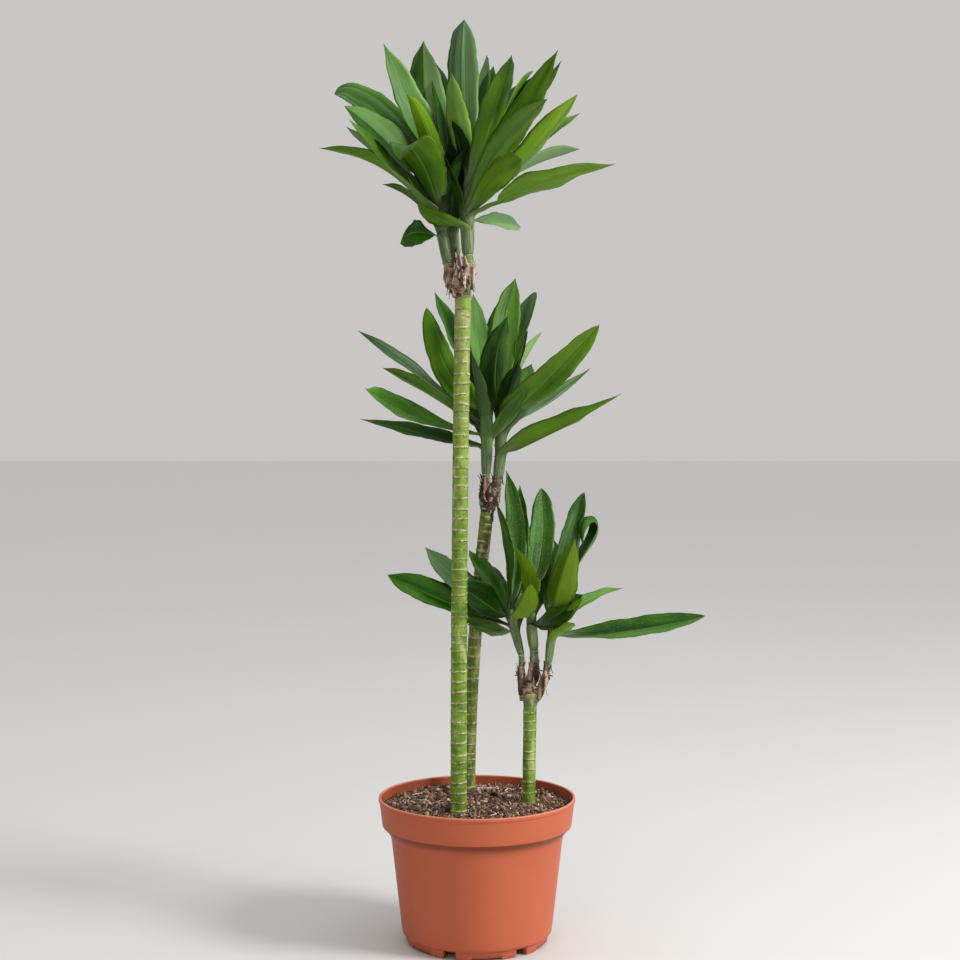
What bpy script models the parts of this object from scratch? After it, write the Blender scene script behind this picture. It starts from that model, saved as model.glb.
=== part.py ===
"""Potted dracaena: three ringed green canes of staggered height in a nursery pot.

Units are metres and +Z is up. The origin is the middle of the pot's underside. Azimuths are in
degrees seen from above: 0 points along +X, 90 along +Y and 270 to the front, -Y.
"""

import math
from typing import NamedTuple

import bmesh
import bpy
from mathutils import Vector

MM = 0.001
GAP = 0.3 * MM              # clearance between pieces that touch
MERGE = 0.01 * MM           # points closer than this are one point

# Pot: a turned shell with a collar band, on a notched foot ring.
POT_HEIGHT = 155 * MM
RIM_RADIUS = 105 * MM
COLLAR_DEPTH = 29.5 * MM
COLLAR_FOOT_RADIUS = 101 * MM
BODY_TOP_RADIUS = 92 * MM
BODY_FOOT_RADIUS = 80 * MM
SHOULDER_DEPTH = 9.5 * MM   # the slope from the collar in to the body
LIP_ROUND = 1.2 * MM
COLLAR_STEP = 1 * MM        # the collar's draw-in under the lip
WALL = 2 * MM
FOOT_HEIGHT = 10 * MM
FOOT_RADIUS = 76 * MM
FLOOR_TOP = 9 * MM
CENTRE_PAD_RADIUS = 56 * MM
CHANNEL_OUTER_RADIUS = 70 * MM
CHANNEL_HEIGHT = 6 * MM
POT_STEPS = 48
DRAIN_COUNT = 6
DRAIN_WIDTH = 14 * MM
DRAIN_HEIGHT = 9.7 * MM     # through the floor
DRAIN_INNER_RADIUS = 62 * MM
DRAIN_FIRST_AZIMUTH = 247.8
ARCH_WIDTH = 32 * MM
ARCH_HEIGHT = 2 * MM
CUTTER_OVERRUN = 4 * MM     # how far a cutting block reaches past the foot ring

# Soil: fills the pot to a little below the rim.
SOIL_EDGE_LEVEL = 146 * MM
SOIL_CENTRE_LEVEL = 148 * MM
ROOTED_DEPTH = 45 * MM      # how far a cane goes down into the soil
BORE_OVERRUN = 30 * MM      # how far the cutter for a cane's hole stands out of the soil

# Stems.
CANE_SIDES = 12
CANE_SPACING = 70 * MM      # between the points of a cane's axis
SHOOT_SIDES = 8
SHOOT_TAPER = 0.5           # share of its radius that a shoot loses over its height
LEVEL_END = 4 * MM          # the stretch that makes a cane's cut top and a shoot's foot level

# Leaves.
LEAF_THICKNESS = 0.8 * MM
LEAF_STATIONS = 8           # cross-sections along a leaf
LEAF_FOLD = math.radians(16)
LEAF_FOOT_WIDTH = 7 * MM
LEAF_TIP_WIDTH = 1.2 * MM
LEAF_CLEARANCE = 1.6 * MM   # from the shoot's skin to the leaf's midrib

UP = Vector((0, 0, 1))


class Cane(NamedTuple):
    """A bare woody stem: where its axis meets the soil and ends, in mm, and its two radii."""

    foot: tuple
    top: tuple
    foot_radius: float
    top_radius: float
    bend: float             # 1 is straight; above 1 it stands upright first and leans later


class Shoot(NamedTuple):
    """A side shoot: its axis points in mm, and its radius at the foot."""

    cane: str
    points: tuple
    radius: float


class Leaf(NamedTuple):
    """A leaf: where it leaves its shoot, where it points, and its size, in mm and degrees."""

    shoot: str
    height: float           # of the leaf's foot above the pot's underside
    azimuth: float
    rise: float             # of the straight line from foot to tip
    length: float
    width: float
    arch: float             # how far the midrib bows above that line, as a share of the length
    roll: float             # turn of the blade about its midrib
    sway: float = 0.0       # how far the midrib bows sideways, as a share of the length


CANES = {
    "tall": Cane((-19.1, -42), (-14.3, -45, 691), 8.5, 8.1, 2.0),
    "middle": Cane((-9.2, 70), (12, 55, 463), 7.2, 7.2, 1.8),
    "short": Cane((55.5, 5), (56.5, 0, 258), 6.6, 7.2, 1.0),
}

SHOOTS = {
    "tall_left": Shoot("tall", ((-20.5, -46), (-30, -48.5, 717), (-35, -50, 750), (-40, -51.5, 800)), 5.0),
    "tall_back": Shoot("tall", ((-15.5, -37), (-21.5, -36.5, 720), (-25, -36, 755), (-27, -33, 822)), 4.5),
    "tall_right": Shoot("tall", ((-8, -50), (-9, -53, 720), (-9.5, -55, 754), (-8, -56, 818)), 6.0),
    "middle_left": Shoot("middle", ((7, 53.5), (9.5, 51, 490), (10.5, 50, 518), (12.5, 49, 582)), 5.0),
    "middle_right": Shoot("middle", ((18.5, 56.5), (22.5, 56, 490), (25, 56, 518), (27, 57, 585)), 5.5),
    "short_left": Shoot("short", ((49.5, -2), (45, -1, 285), (43.5, 0, 307), (37, 0, 339), (34, 0, 362)), 4.0),
    "short_middle": Shoot("short", ((57.5, 6), (60.5, 6, 285), (61, 5.5, 307), (58, 5, 333), (57, 5.5, 380)), 6.0),
    "short_right": Shoot("short", ((64.5, -4.5), (72, -4, 280), (76, -3, 300), (78.5, -3, 324), (81, -2, 356)), 4.0),
}

LEAVES = {
    "tall": (
        Leaf("tall_left", 750, 172, 35, 151, 31, 0.14, -30),
        Leaf("tall_left", 789, 150, 48, 160, 34, 0.1, 42),
        Leaf("tall_left", 776, 204, 45, 136, 34, 0.06, 55),
        Leaf("tall_left", 766, 223, 37, 138, 34, -0.01, 44),
        Leaf("tall_back", 792, 200, 65, 162, 32, 0.0, 90),
        Leaf("tall_back", 808, 127, 73, 152, 34, -0.04, 21),
        Leaf("tall_right", 808, 94, 68, 183, 38, 0.12, -5),
        Leaf("tall_right", 816, 249, 64, 96, 19, 0.01, -4),
        Leaf("tall_right", 795, 289, 42, 166, 31, 0.09, -17),
        Leaf("tall_right", 788, 307, 42, 186, 30, 0.0, 72),
        Leaf("tall_right", 787, 53, 52, 179, 41, 0.1, 37),
        Leaf("tall_right", 776, 338, 44, 153, 35, -0.04, 20),
        Leaf("tall_right", 770, 24, 42, 157, 29, 0.04, -23),
        Leaf("tall_right", 768, 30, 29, 143, 30, 0.06, 24),
        Leaf("tall_right", 762, 326, 14.3, 175, 27, 0.01, 39, -0.12),
        Leaf("tall_right", 758, 57, 2, 97, 21, 0.03, -60),
        Leaf("tall_right", 764, 291, 17, 145, 26, 0.09, 55),
        Leaf("tall_left", 771, 252, 26, 132, 42, 0.12, -10),
        Leaf("tall_left", 742, 245, -7, 92, 25, 0.1, 95, -0.08),
    ),
    "middle": (
        Leaf("middle_left", 548, 200, 36, 174, 22, 0.0, 40),
        Leaf("middle_left", 540, 154, 30, 144, 29, 0.03, -40),
        Leaf("middle_left", 535, 220, 19, 168, 35, -0.01, 52, -0.16),
        Leaf("middle_left", 522, 160, 13, 149, 24, 0.0, 36),
        Leaf("middle_left", 560, 237, 45, 159, 28, -0.11, -58),
        Leaf("middle_left", 568, 129, 55, 158, 29, -0.01, -7),
        Leaf("middle_left", 575, 107, 66, 130, 26, -0.03, -10),
        Leaf("middle_right", 580, 77, 63, 149, 33, 0.0, -20),
        Leaf("middle_right", 563, 274, 53, 128, 34, -0.05, -26),
        Leaf("middle_right", 571, 52, 56, 148, 20, 0.04, 23),
        Leaf("middle_right", 556, 311, 34, 176, 34, -0.1, 64, -0.14),
        Leaf("middle_right", 550, 31, 29, 129, 23, -0.06, -2),
        Leaf("middle_right", 516, 314, 22, 184, 33, -0.01, 31),
        Leaf("middle_left", 530, 300, 38, 96, 18, 0.0, 40),
    ),
    "short": (
        Leaf("short_left", 334, 163, 21, 149, 36, -0.01, 42),
        Leaf("short_left", 343, 150, 35, 128, 29, -0.04, 38),
        Leaf("short_left", 349, 128, 41, 90, 25, 0.04, 5),
        Leaf("short_left", 345, 207, 34, 71, 39, -0.02, 71),
        Leaf("short_left", 357, 93, 68, 154, 23, 0.0, 23, -0.07),
        Leaf("short_middle", 374, 76, 66, 117, 29, -0.04, 1),
        Leaf("short_right", 345, 62, 60, 151, 24, 0.06, -65),
        Leaf("short_right", 340, 47, 40, 130, 22, 0.12, 20),
        Leaf("short_right", 352, 281, 43, 127, 39, -0.06, 74),
        Leaf("short_middle", 362, 255, 45, 92, 23, 0.03, 29),
        Leaf("short_left", 342, 283, 34, 87, 19, -0.07, 32),
        Leaf("short_middle", 338, 306, 22, 90, 34, 0.02, 10),
        Leaf("short_right", 332, 39, 21, 108, 19, 0.07, -10),
        Leaf("short_right", 324, 11, 7, 168, 29, -0.03, -46),
    ),
}


# ---------------------------------------------------------------- scene and materials

def clear_scene() -> None:
    """Remove every object that the scene starts with."""
    for leftover in list(bpy.data.objects):
        bpy.data.objects.remove(leftover)


def new_collection(name: str) -> bpy.types.Collection:
    """Make a collection in the scene."""
    made = bpy.data.collections.new(name)
    bpy.context.scene.collection.children.link(made)
    return made


def new_material(name: str, colour: tuple, roughness: float) -> bpy.types.Material:
    """Make a Principled material of one linear colour."""
    made = bpy.data.materials.new(name)
    made.use_nodes = True
    shader = made.node_tree.nodes["Principled BSDF"]
    shader.inputs["Base Color"].default_value = (*colour, 1.0)
    shader.inputs["Roughness"].default_value = roughness
    shader.inputs["Metallic"].default_value = 0.0
    made.diffuse_color = (*colour, 1.0)
    return made


def pot_material() -> bpy.types.Material:
    """Matte terracotta-coloured plastic."""
    return new_material("pot", (0.44, 0.105, 0.052), 0.55)


def soil_material() -> bpy.types.Material:
    """Dark brown potting mix."""
    return new_material("soil", (0.075, 0.045, 0.03), 0.95)


def cane_material() -> bpy.types.Material:
    """Smooth mid-green bark."""
    return new_material("cane", (0.16, 0.29, 0.06), 0.5)


def shoot_material() -> bpy.types.Material:
    """Grey-green young stem."""
    return new_material("shoot", (0.13, 0.22, 0.10), 0.5)


def leaf_material(crown: str) -> bpy.types.Material:
    """Glossy deep green leaf, a shade of its own for each crown."""
    colours = {"tall": (0.05, 0.17, 0.03), "middle": (0.04, 0.15, 0.03), "short": (0.05, 0.19, 0.035)}
    return new_material("leaf_" + crown, colours[crown], 0.35)


# ---------------------------------------------------------------- shared helpers

def link_object(name: str, data, material, collection) -> bpy.types.Object:
    """Put an object with this mesh or curve into a collection, with its one material."""
    made = bpy.data.objects.new(name, data)
    if material is not None:
        data.materials.append(material)
    collection.objects.link(made)
    return made


def turned(name: str, profile: list, steps: int, material, collection) -> bpy.types.Object:
    """Turn a profile of (radius, height) points, outer side first and downwards, about Z."""
    mesh = bpy.data.meshes.new(name)
    points = [(radius, 0.0, height) for radius, height in profile]
    edges = [(index, index + 1) for index in range(len(points) - 1)]
    mesh.from_pydata(points, edges, [])
    made = link_object(name, mesh, material, collection)
    screw = made.modifiers.new("turn", "SCREW")
    screw.steps = steps
    screw.render_steps = steps
    screw.use_merge_vertices = True
    screw.merge_threshold = MERGE
    screw.use_smooth_shade = True
    return made


def tube_curve(name: str, points: list, radii: list, sides: int) -> bpy.types.Curve:
    """Make a capped round tube through points, with its own radius at each."""
    curve = bpy.data.curves.new(name, "CURVE")
    curve.dimensions = "3D"
    curve.use_fill_caps = True
    curve.bevel_depth = 1.0
    curve.bevel_resolution = (sides - 4) // 2
    spline = curve.splines.new("POLY")
    spline.points.add(len(points) - 1)
    for point, place, radius in zip(spline.points, points, radii):
        point.co = (*place, 1.0)
        point.radius = radius
    spline.use_smooth = True
    return curve


def mark_cutter(cutter: bpy.types.Object) -> None:
    """Keep a cutting body out of the model itself."""
    cutter.hide_render = True
    cutter.display_type = "WIRE"


def cut(target: bpy.types.Object, cutter: bpy.types.Object) -> None:
    """Subtract one body from another."""
    mark_cutter(cutter)
    boolean = target.modifiers.new("cut_" + cutter.name, "BOOLEAN")
    boolean.operation = "DIFFERENCE"
    boolean.solver = "EXACT"
    boolean.object = cutter


def welded_mesh(source: bpy.types.Object) -> bpy.types.Mesh:
    """Take a curve object's evaluated mesh, with its caps welded on."""
    bpy.context.view_layer.update()
    evaluated = source.evaluated_get(bpy.context.evaluated_depsgraph_get())
    mesh = bpy.data.meshes.new_from_object(evaluated)
    shape = bmesh.new()
    shape.from_mesh(mesh)
    bmesh.ops.remove_doubles(shape, verts=shape.verts, dist=MERGE)
    shape.to_mesh(mesh)
    shape.free()
    return mesh


# ---------------------------------------------------------------- pot and soil

def wall_profile() -> list:
    """Outer wall of the pot from the lip down to the foot ring."""
    collar_foot = POT_HEIGHT - COLLAR_DEPTH
    return [
        (RIM_RADIUS - LIP_ROUND, POT_HEIGHT),
        (RIM_RADIUS, POT_HEIGHT - LIP_ROUND),
        (RIM_RADIUS, POT_HEIGHT - 3 * LIP_ROUND),
        (RIM_RADIUS - COLLAR_STEP, POT_HEIGHT - 4 * LIP_ROUND),
        (COLLAR_FOOT_RADIUS, collar_foot),
        (COLLAR_FOOT_RADIUS - 1.5 * MM, collar_foot - 1.5 * MM),
        (BODY_TOP_RADIUS, collar_foot - SHOULDER_DEPTH),
        (BODY_FOOT_RADIUS, FOOT_HEIGHT + 1 * MM),
        (BODY_FOOT_RADIUS - 1 * MM, FOOT_HEIGHT),
        (FOOT_RADIUS, FOOT_HEIGHT - 1.5 * MM),
        (FOOT_RADIUS - 1 * MM, 0.0),
    ]


def underside_profile() -> list:
    """Underside from the foot ring in to the axis: a ring channel round a flat centre pad."""
    return [
        (CHANNEL_OUTER_RADIUS, 0.0),
        (CHANNEL_OUTER_RADIUS - 1 * MM, CHANNEL_HEIGHT),
        (CENTRE_PAD_RADIUS + 1 * MM, CHANNEL_HEIGHT),
        (CENTRE_PAD_RADIUS, 0.0),
        (0.0, 0.0),
    ]


def hollow_profile() -> list:
    """Inside of the pot from the middle of the floor up to the lip."""
    collar_foot = POT_HEIGHT - COLLAR_DEPTH
    return [
        (0.0, FLOOR_TOP),
        (BODY_FOOT_RADIUS - WALL - 3 * MM, FLOOR_TOP),
        (BODY_FOOT_RADIUS - WALL, FLOOR_TOP + 4 * MM),
        (BODY_TOP_RADIUS - WALL, collar_foot - SHOULDER_DEPTH + 1 * MM),
        (COLLAR_FOOT_RADIUS - WALL, collar_foot + 1 * MM),
        (RIM_RADIUS - COLLAR_STEP - WALL, POT_HEIGHT - 1 * MM),
        (RIM_RADIUS - LIP_ROUND - 1.4 * MM, POT_HEIGHT),
    ]


def wedge_cutter(name: str, azimuth: float, inner: float, outer: float, width: float,
                 height: float, collection) -> bpy.types.Object:
    """A block lying along an azimuth, from an inner to an outer radius, up to a height."""
    below = 1 * MM
    shape = bmesh.new()
    bmesh.ops.create_cube(shape, size=1.0)
    for vertex in shape.verts:
        vertex.co.x = inner + (vertex.co.x + 0.5) * (outer - inner)
        vertex.co.y *= width
        vertex.co.z = (vertex.co.z + 0.5) * (height + below) - below
    mesh = bpy.data.meshes.new(name)
    shape.to_mesh(mesh)
    shape.free()
    made = link_object(name, mesh, None, collection)
    made.rotation_euler.z = math.radians(azimuth)
    return made


def make_pot(parts, cutters) -> None:
    """The turned shell, with drain notches through its foot and shallow arches between them."""
    profile = wall_profile() + underside_profile() + hollow_profile()
    profile.append(profile[0])
    pot = turned("pot", profile, POT_STEPS, pot_material(), parts)
    spacing = 360.0 / DRAIN_COUNT
    outer = BODY_FOOT_RADIUS + CUTTER_OVERRUN
    for index in range(DRAIN_COUNT):
        azimuth = DRAIN_FIRST_AZIMUTH + index * spacing
        notch = wedge_cutter("notch_%d" % index, azimuth, DRAIN_INNER_RADIUS, outer,
                             DRAIN_WIDTH, DRAIN_HEIGHT, cutters)
        cut(pot, notch)
        arch = wedge_cutter("arch_%d" % index, azimuth + spacing / 2,
                            CHANNEL_OUTER_RADIUS - CUTTER_OVERRUN, outer,
                            ARCH_WIDTH, ARCH_HEIGHT, cutters)
        cut(pot, arch)
    pot.data.shade_smooth()


def soil_profile() -> list:
    """Soil from the middle of its slightly crowned top, round the pot's inside, to its bottom."""
    inside = [(radius - GAP, height + GAP) for radius, height in hollow_profile()[1:5]]
    inside.reverse()
    edge_radius = RIM_RADIUS - COLLAR_STEP - WALL - 1 * MM
    top = [
        (0.0, SOIL_CENTRE_LEVEL),
        (edge_radius * 0.7, SOIL_CENTRE_LEVEL - 0.5 * MM),
        (edge_radius - 3 * MM, SOIL_EDGE_LEVEL),
        (edge_radius - 0.5 * MM, SOIL_EDGE_LEVEL - 3 * MM),
    ]
    return top + inside + [(0.0, FLOOR_TOP + GAP)]


def make_soil(parts, cutters) -> None:
    """The body of potting mix, with a blind hole for each cane."""
    soil = turned("soil", soil_profile(), POT_STEPS, soil_material(), parts)
    for name, cane in CANES.items():
        radius = cane.foot_radius * MM + GAP
        ends = [-UP * (ROOTED_DEPTH + GAP), UP * BORE_OVERRUN]
        curve = tube_curve("bore_" + name, ends, [radius, radius], CANE_SIDES)
        bored = link_object("bore_" + name + "_curve", curve, None, cutters)
        cutter = link_object("bore_" + name, welded_mesh(bored), None, cutters)
        cutter.location = cane_foot(cane)
        bpy.data.objects.remove(bored)
        cut(soil, cutter)


# ---------------------------------------------------------------- canes and shoots

def cane_foot(cane: Cane) -> Vector:
    """Where a cane's axis meets the soil."""
    return Vector((cane.foot[0] * MM, cane.foot[1] * MM, SOIL_CENTRE_LEVEL))


def cane_points(cane: Cane) -> list:
    """Axis points from the foot: a rooted end straight down in the soil, then the bare stem."""
    reach = Vector(cane.top) * MM - cane_foot(cane)
    count = max(3, round(reach.z / CANE_SPACING))
    points = [-UP * ROOTED_DEPTH]
    for index in range(count + 1):
        share = index / count
        lean = share ** cane.bend
        points.append(Vector((reach.x * lean, reach.y * lean, reach.z * share)))
    points.insert(-1, reach - UP * LEVEL_END)
    return points


def make_canes(parts) -> None:
    """The three bare stems."""
    material = cane_material()
    for name, cane in CANES.items():
        points = cane_points(cane)
        last = len(points) - 1
        radii = [(cane.foot_radius + (cane.top_radius - cane.foot_radius) * index / last) * MM
                 for index in range(last + 1)]
        curve = tube_curve("cane_" + name, points, radii, CANE_SIDES)
        made = link_object("cane_" + name, curve, material, parts)
        made.location = cane_foot(cane)


def shoot_points(shoot: Shoot) -> list:
    """Axis points of a shoot, which stands square on its cane's cut top before it leans."""
    start = Vector((*shoot.points[0], CANES[shoot.cane].top[2])) * MM + UP * GAP
    rest = [Vector(point) * MM for point in shoot.points[1:]]
    return [start, start + UP * LEVEL_END] + rest


def shoot_radius(shoot: Shoot, height: float) -> float:
    """Radius of a shoot, which tapers over its height."""
    points = shoot_points(shoot)
    share = (height - points[0].z) / (points[-1].z - points[0].z)
    return shoot.radius * MM * (1 - SHOOT_TAPER * min(max(share, 0.0), 1.0))


def make_shoots(parts) -> None:
    """The side shoots that carry the leaves."""
    material = shoot_material()
    for name, shoot in SHOOTS.items():
        points = shoot_points(shoot)
        radii = [shoot_radius(shoot, point.z) for point in points]
        local = [point - points[0] for point in points]
        curve = tube_curve("shoot_" + name, local, radii, SHOOT_SIDES)
        made = link_object("shoot_" + name, curve, material, parts)
        made.location = points[0]


def axis_at(shoot: Shoot, height: float) -> Vector:
    """Point of a shoot's axis at a height."""
    points = shoot_points(shoot)
    for low, high in zip(points, points[1:]):
        if height <= high.z:
            return low.lerp(high, (height - low.z) / (high.z - low.z))
    return points[-1]


# ---------------------------------------------------------------- leaves

def half_width(leaf: Leaf, share: float) -> float:
    """Half of the blade's width: narrow at the foot, widest past the middle, pointed."""
    blade = math.sin(math.pi * share ** 1.2) ** 0.9 if 0 < share < 1 else 0.0
    foot = LEAF_FOOT_WIDTH * (1 - share) ** 2
    tip = LEAF_TIP_WIDTH * share
    return (leaf.width * MM * blade + foot + tip) / 2


def leaf_foot(leaf: Leaf) -> Vector:
    """Where a leaf's midrib starts, just outside its shoot's skin."""
    azimuth = math.radians(leaf.azimuth)
    outward = Vector((math.cos(azimuth), math.sin(azimuth), 0))
    shoot = SHOOTS[leaf.shoot]
    height = leaf.height * MM
    return axis_at(shoot, height) + outward * (shoot_radius(shoot, height) + LEAF_CLEARANCE)


def leaf_section(leaf: Leaf, share: float) -> list:
    """Left edge, midrib and right edge at a share of the length, with the leaf pointing to +X."""
    side = Vector((0, 1, 0))
    rise = math.radians(leaf.rise)
    line = Vector((math.cos(rise), 0, math.sin(rise))) * leaf.length * MM
    upward = line.normalized().cross(side)
    bow = (upward * leaf.arch + side * leaf.sway) * 4 * line.length
    midrib = line * share + bow * share * (1 - share)
    along = (line + bow * (1 - 2 * share)).normalized()
    side = (side - along * along.dot(side)).normalized()
    roll = math.radians(leaf.roll) * (1 - (1 - share) ** 3)
    level_up = along.cross(side)
    across = side * math.cos(roll) - level_up * math.sin(roll)
    blade_up = level_up * math.cos(roll) + side * math.sin(roll)
    reach = half_width(leaf, share)
    lift = blade_up * reach * math.sin(LEAF_FOLD)
    spread = across * reach * math.cos(LEAF_FOLD)
    return [midrib + spread + lift, midrib, midrib - spread + lift]


def make_leaf(name: str, leaf: Leaf, material, parts) -> None:
    """One leaf: an open strip of cross-sections, thickened."""
    shape = bmesh.new()
    rows = []
    for index in range(LEAF_STATIONS):
        section = leaf_section(leaf, index / (LEAF_STATIONS - 1))
        rows.append([shape.verts.new(point) for point in section])
    for low, high in zip(rows, rows[1:]):
        for column in range(2):
            shape.faces.new((low[column], low[column + 1], high[column + 1], high[column]))
    mesh = bpy.data.meshes.new(name)
    shape.to_mesh(mesh)
    shape.free()
    mesh.shade_smooth()
    made = link_object(name, mesh, material, parts)
    made.location = leaf_foot(leaf)
    made.rotation_euler.z = math.radians(leaf.azimuth)
    skin = made.modifiers.new("thickness", "SOLIDIFY")
    skin.thickness = LEAF_THICKNESS
    skin.offset = 0.0


def make_leaves(parts) -> None:
    """Every leaf of the three crowns."""
    for crown, leaves in LEAVES.items():
        material = leaf_material(crown)
        for index, leaf in enumerate(leaves):
            make_leaf("leaf_%s_%02d" % (crown, index + 1), leaf, material, parts)


def gather(parts) -> None:
    """Parent every piece to one empty at the origin, so that the plant moves as one."""
    root = bpy.data.objects.new("plant_origin", None)
    for piece in list(parts.objects):
        piece.parent = root
    parts.objects.link(root)


def main() -> None:
    """Build the whole plant in its pot."""
    clear_scene()
    parts = new_collection("potted_dracaena")
    cutters = new_collection("cutters")
    make_pot(parts, cutters)
    make_soil(parts, cutters)
    make_canes(parts)
    make_shoots(parts)
    make_leaves(parts)
    gather(parts)


main()
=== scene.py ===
"""Potted dracaena: three ringed green canes with crowns of broad leaves, in a terracotta-coloured pot.

Units are metres, +Z is up and the front faces -Y. Azimuths are degrees seen from above: 0 points
along +X, 90 along +Y and 270 to the front. The plan of the plant, its canes, shoots and leaves, is
given in millimetres and degrees: SOIL_LEVEL is where the canes leave the soil, CANE_START where
they begin inside it, and RING_STEP how far apart they are cut.
"""

import itertools
import logging
import math
from dataclasses import dataclass
from enum import Enum
from typing import Dict, List, Optional, Sequence, Tuple, Union

import bpy
import numpy as np
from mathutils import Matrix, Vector


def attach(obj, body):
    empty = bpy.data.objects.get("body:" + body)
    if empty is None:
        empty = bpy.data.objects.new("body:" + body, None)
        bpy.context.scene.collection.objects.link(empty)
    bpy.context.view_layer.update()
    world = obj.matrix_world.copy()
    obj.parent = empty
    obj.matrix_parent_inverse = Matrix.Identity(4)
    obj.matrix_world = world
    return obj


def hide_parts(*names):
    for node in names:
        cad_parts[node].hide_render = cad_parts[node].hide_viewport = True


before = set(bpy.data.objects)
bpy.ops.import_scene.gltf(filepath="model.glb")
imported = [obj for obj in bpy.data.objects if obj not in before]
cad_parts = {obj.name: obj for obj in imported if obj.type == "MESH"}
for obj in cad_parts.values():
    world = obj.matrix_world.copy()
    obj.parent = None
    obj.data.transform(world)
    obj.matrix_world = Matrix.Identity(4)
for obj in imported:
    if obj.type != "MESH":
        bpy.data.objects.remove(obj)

Array = np.ndarray
Colour = Tuple[float, float, float]
Term = Union["Value", float, Sequence[float]]

MM = 0.001
UP = np.array([0.0, 0.0, 1.0])
FRONT = np.array([0.0, -1.0, 0.0])
SOIL_LEVEL = 148.0
CANE_START = 103.0
RING_STEP = 0.85
LOG = logging.getLogger("dracaena")


# ---------------------------------------------------------------- the plan of the plant


@dataclass(frozen=True)
class Cane:
    """A bare stem: where its axis meets the soil and ends, in mm, its two radii, and its bend.

    bend is the power of the height by which the axis leans from one place to the other.
    """

    foot: Tuple[float, float]
    top: Tuple[float, float, float]
    foot_radius: float
    top_radius: float
    bend: float


@dataclass(frozen=True)
class Shoot:
    """A side shoot: its axis points in mm above its cane's top, its radius and its bark."""

    cane: str
    points: Tuple[Tuple[float, ...], ...]
    radius: float
    bark: "Bark"


@dataclass(frozen=True)
class Leaf:
    """A leaf: where it leaves its shoot, where it points, its size, and how its blade is bent.

    Lengths are in mm, angles in degrees. arch and sway are shares of the length that the midrib
    bows upwards and sideways. curl turns the stretch past curl_from down, twist turns the blade
    more towards its tip, fold is the slope of its halves, ripple the wave of its edges. peak above
    1 moves the widest place towards the tip, a low blunt rounds the tip, and neck is the share of
    the length that is a narrow stalk. shade runs from 0 dark to 1 fresh; its low values partly
    paint the shadow on leaves deep in the crown. hue runs from -1 bluish to 1 yellowish: the bluish
    end partly paints the sheen of reflected sky and the yellowish end partly paints light shining
    through the leaf. split is how much paler one half is than the other, painted light on one half
    and painted shade on the other. stripe is the strength of pale bands, partly painted sheen, dew
    that of droplets, and dry the brown share.
    """

    shoot: str
    height: float
    azimuth: float
    rise: float
    length: float
    width: float
    arch: float
    roll: float
    sway: float = 0.0
    curl: float = 0.0
    curl_from: float = 0.7
    twist: float = 0.0
    fold: float = 20.0
    peak: float = 1.2
    blunt: float = 0.72
    neck: float = 0.0
    ripple: float = 0.8
    shade: float = 0.5
    hue: float = 0.0
    split: float = 0.0
    stripe: float = 0.0
    dew: float = 0.0
    dry: float = 0.004


class Bark(Enum):
    """The skins that a young shoot can have."""

    GREEN = "green"
    GREY = "grey"
    DRY = "dry"


CANES: Dict[str, Cane] = {
    "tall": Cane((-19.1, -42), (-14.3, -45, 691), 8.5, 8.1, 2.0),
    "middle": Cane((-9.2, 70), (12, 55, 463), 7.2, 7.2, 1.8),
    "short": Cane((55.5, 5), (56.5, 0, 258), 6.6, 7.2, 1.0),
}

SHOOTS: Dict[str, Shoot] = {
    "tall_left": Shoot("tall",
        ((-20.5, -46), (-30, -48.5, 717), (-35, -50, 750), (-40, -51.5, 800)), 5.0, Bark.GREY),
    "tall_back": Shoot("tall",
        ((-15.5, -37), (-21.5, -36.5, 720), (-25, -36, 755), (-27, -33, 822)), 4.5, Bark.GREY),
    "tall_right": Shoot("tall",
        ((-10, -49.5), (-9, -53, 720), (-9.5, -55, 754), (-8, -56, 818)), 6.0, Bark.GREEN),
    "middle_left": Shoot("middle",
        ((7, 53.5), (9.5, 51, 490), (10.5, 50, 518), (12.5, 49, 582)), 5.0, Bark.GREY),
    "middle_right": Shoot("middle",
        ((18.5, 56.5), (22.5, 56, 490), (25, 56, 518), (27, 57, 585)), 5.5, Bark.DRY),
    "short_left": Shoot("short",
        ((49.5, -2), (47, -1, 285), (47, 0, 307), (38.5, 0, 339), (34, 0, 362)), 4.0, Bark.GREY),
    "short_middle": Shoot("short",
        ((57.5, 6), (60.5, 6, 285), (61, 5.5, 307), (58, 5, 333), (57, 5.5, 380)), 6.0, Bark.GREY),
    "short_right": Shoot("short",
        ((62, -3.5), (72, -4, 280), (76, -3, 300), (78.5, -3, 324), (81, -2, 356)), 4.0, Bark.GREY),
}

# Low shade values partly paint the shadow that falls on leaves deep in each crown.
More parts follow.
